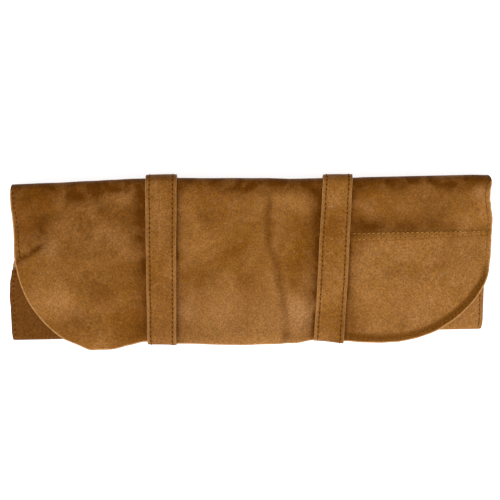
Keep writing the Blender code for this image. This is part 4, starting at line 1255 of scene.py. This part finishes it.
def flap_seams():
    """Seams on the front flap's outer face, and where they come out on its plies."""
    lobe_y = 7.0
    left_y = spaced(FLAT_TOP_Y, lobe_y, SEAM_STEP)
    left_x = mix(-227.0, -224.6, (FLAT_TOP_Y - left_y) / (FLAT_TOP_Y - lobe_y))
    tack_y = spaced(15.0, 5.6, SEAM_STEP)
    curve_x, curve_y = curve_seam(SEAM_INSET + 0.4, STRAPS["right"][1] + STRAP_WIDTH)
    row_x = spaced(STRAPS["right"][0] + STRAP_WIDTH / 2, RIGHT_X - 2 * SEAM_INSET, SEAM_STEP)
    rows = [(row_x, divider_row(row_x, row)) for row in (0, 1)]
    tack = (mix(-224.2, -223.8, np.linspace(0, 1, len(tack_y))), tack_y)

    def outside(lines):
        return [on_sheet(x, y, flap_top) for x, y in lines]

    def inside(x, y):
        return flap_top(x, y) - HIDE - PLY_GAP - PLY

    lines = [(x[y < FLAT_TOP_Y - 6.0], y[y < FLAT_TOP_Y - 6.0])
             for x, y in [(left_x, left_y), (curve_x, curve_y)] + rows]
    return (outside([(left_x, left_y), tack]), outside([(curve_x, curve_y)]), outside(rows),
            [on_sheet(x, y, inside, -1.0) for x, y in lines])


def lower_flap_seams():
    """The rows of stitches up both ends of the lower flap."""
    y = spaced(BOTTOM_Y + BOTTOM_FOLD[0], BOTTOM_Y + LOWER_FLAP_WIDTH - 4.0, SEAM_STEP)
    return [on_sheet(panel_x(share, y) + inset, y, lower_flap_top, 1.0, "lower")
            for share, inset in ((0.0, 3.4), (1.0, -3.6))]


def back_seams():
    """Seams of the plies on the back panel: the divider, and three sides of each ply."""
    top, bottom = PLY_TOP_Y - 3.0, PLY_BOTTOM_Y + 3.0
    first, last = POCKET_MOUTH_X + 4.0, PANEL_RIGHT_X - 7.0

    def sheet(x, y):
        return np.full(np.shape(x), BACK_HIGH + PLY_GAP + PLY + 0.1)

    runs = []
    for open_x, far in ((first, last), (LEFT_X + 120.0, LEFT_X + 7.0)):
        across = spaced(open_x, far, SEAM_STEP)
        runs += [(across, top), (across, bottom), (far, spaced(top, bottom, SEAM_STEP))]
    runs.append((spaced(first, last, SEAM_STEP), POCKET_DIVIDER_Y))
    return [on_sheet(x, y, sheet, 1.0, "lower") for x, y in runs]


class KNIFECASE_OT_catches(bpy.types.Operator):
    """Make the magnet in each strap's end and the steel plate that it meets."""

    bl_idname = "knife_case.catches"
    bl_label = "Catches"

    def execute(self, context):
        steel = make_material("nickel_plated_steel_strip", plated_steel)
        for side in STRAPS:
            stem = "strap_" + side
            for node, body in ((stem + "_magnet", stem), (stem + "_catch_plate", "case")):
                piece = make_catch(node + "_bar", side, node)
                piece.data.materials.append(steel)
                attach(piece, body)
                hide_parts(node)
        return {'FINISHED'}


class KNIFECASE_OT_studio(bpy.types.Operator):
    """Make the white table, the soft light and the camera straight above."""

    bl_idname = "knife_case.studio"
    bl_label = "Studio"

    def execute(self, context):
        studio = settings()[2]
        scene = context.scene
        mesh = bpy.data.meshes.new("table_top")
        corners = [(-1, -1), (1, -1), (1, 1), (-1, 1)]
        mesh.from_pydata([(x * TABLE_REACH, y * TABLE_REACH, 0) for x, y in corners], [], [(0, 1, 2, 3)])
        table = in_scene("table_top", mesh)
        mesh.materials.append(make_material("white_seamless_paper", white_paper))

        world = bpy.data.worlds.new("studio_sky")
        scene.world = world
        world.use_nodes = True
        tree = world.node_tree
        tree.nodes.clear()
        level = add_node(tree, 'ShaderNodeMapRange', {"Value": seen_directly(tree), "To Max": 1.0,
                                                      "To Min": studio.sky_strength})
        sky = add_node(tree, 'ShaderNodeBackground', {"Color": (1.0, 1.0, 1.0, 1.0),
                                                      "Strength": level.outputs["Result"]})
        add_node(tree, 'ShaderNodeOutputWorld', {"Surface": sky.outputs["Background"]})

        # A lamp without falloff, whose width is the angle that it fills
        lamp = bpy.data.lights.new("key_from_lower_edge", 'SUN')
        lamp.energy, lamp.angle = studio.key_strength, math.radians(30.0)
        sun = in_scene("key_from_lower_edge", lamp)
        sun.rotation_euler = (math.radians(38.0), 0.0, math.radians(-12.0))
        scene.view_settings.view_transform = 'Standard'

        lens = bpy.data.cameras.new("camera")
        lens.lens, lens.sensor_width = 100.0, 36.0
        lens.clip_end = 20.0
        camera = in_scene("camera", lens)
        camera.location = (CAMERA_OFF[0] * MM, CAMERA_OFF[1] * MM, studio.camera_height)
        camera.rotation_euler = (0.0, 0.0, studio.camera_turn)
        scene.camera = camera
        return {'FINISHED'}


class KNIFECASE_PT_panel(bpy.types.Panel):
    """The steps of the knife case, in order."""

    bl_label = "Knife Case"
    bl_idname = "KNIFECASE_PT_panel"
    bl_space_type = 'VIEW_3D'
    bl_region_type = 'UI'
    bl_category = "Knife Case"

    def draw(self, context):
        for group in settings():
            box = self.layout.box()
            for name in group.__annotations__:
                box.prop(group, name)
        for step in STEPS:
            self.layout.operator(step.bl_idname)


STEPS = (KNIFECASE_OT_hide, KNIFECASE_OT_pockets, KNIFECASE_OT_straps, KNIFECASE_OT_stitches,
         KNIFECASE_OT_catches, KNIFECASE_OT_studio)
GROUPS = {"knife_case_sizes": KnifeCaseSizes, "knife_case_colours": KnifeCaseColours,
          "knife_case_studio": KnifeCaseStudio}


def register():
    for item in (*GROUPS.values(), *STEPS, KNIFECASE_PT_panel):
        bpy.utils.register_class(item)
    for name, group in GROUPS.items():
        setattr(bpy.types.Scene, name, bpy.props.PointerProperty(type=group))


def unregister():
    for name in GROUPS:
        delattr(bpy.types.Scene, name)
    for item in (KNIFECASE_PT_panel, *reversed(STEPS), *reversed(GROUPS.values())):
        bpy.utils.unregister_class(item)


def main():
    register()
    bpy.ops.knife_case.hide()
    bpy.ops.knife_case.pockets()
    bpy.ops.knife_case.straps()
    bpy.ops.knife_case.stitches()
    bpy.ops.knife_case.catches()
    bpy.ops.knife_case.studio()


if __name__ == "__main__":
    main()
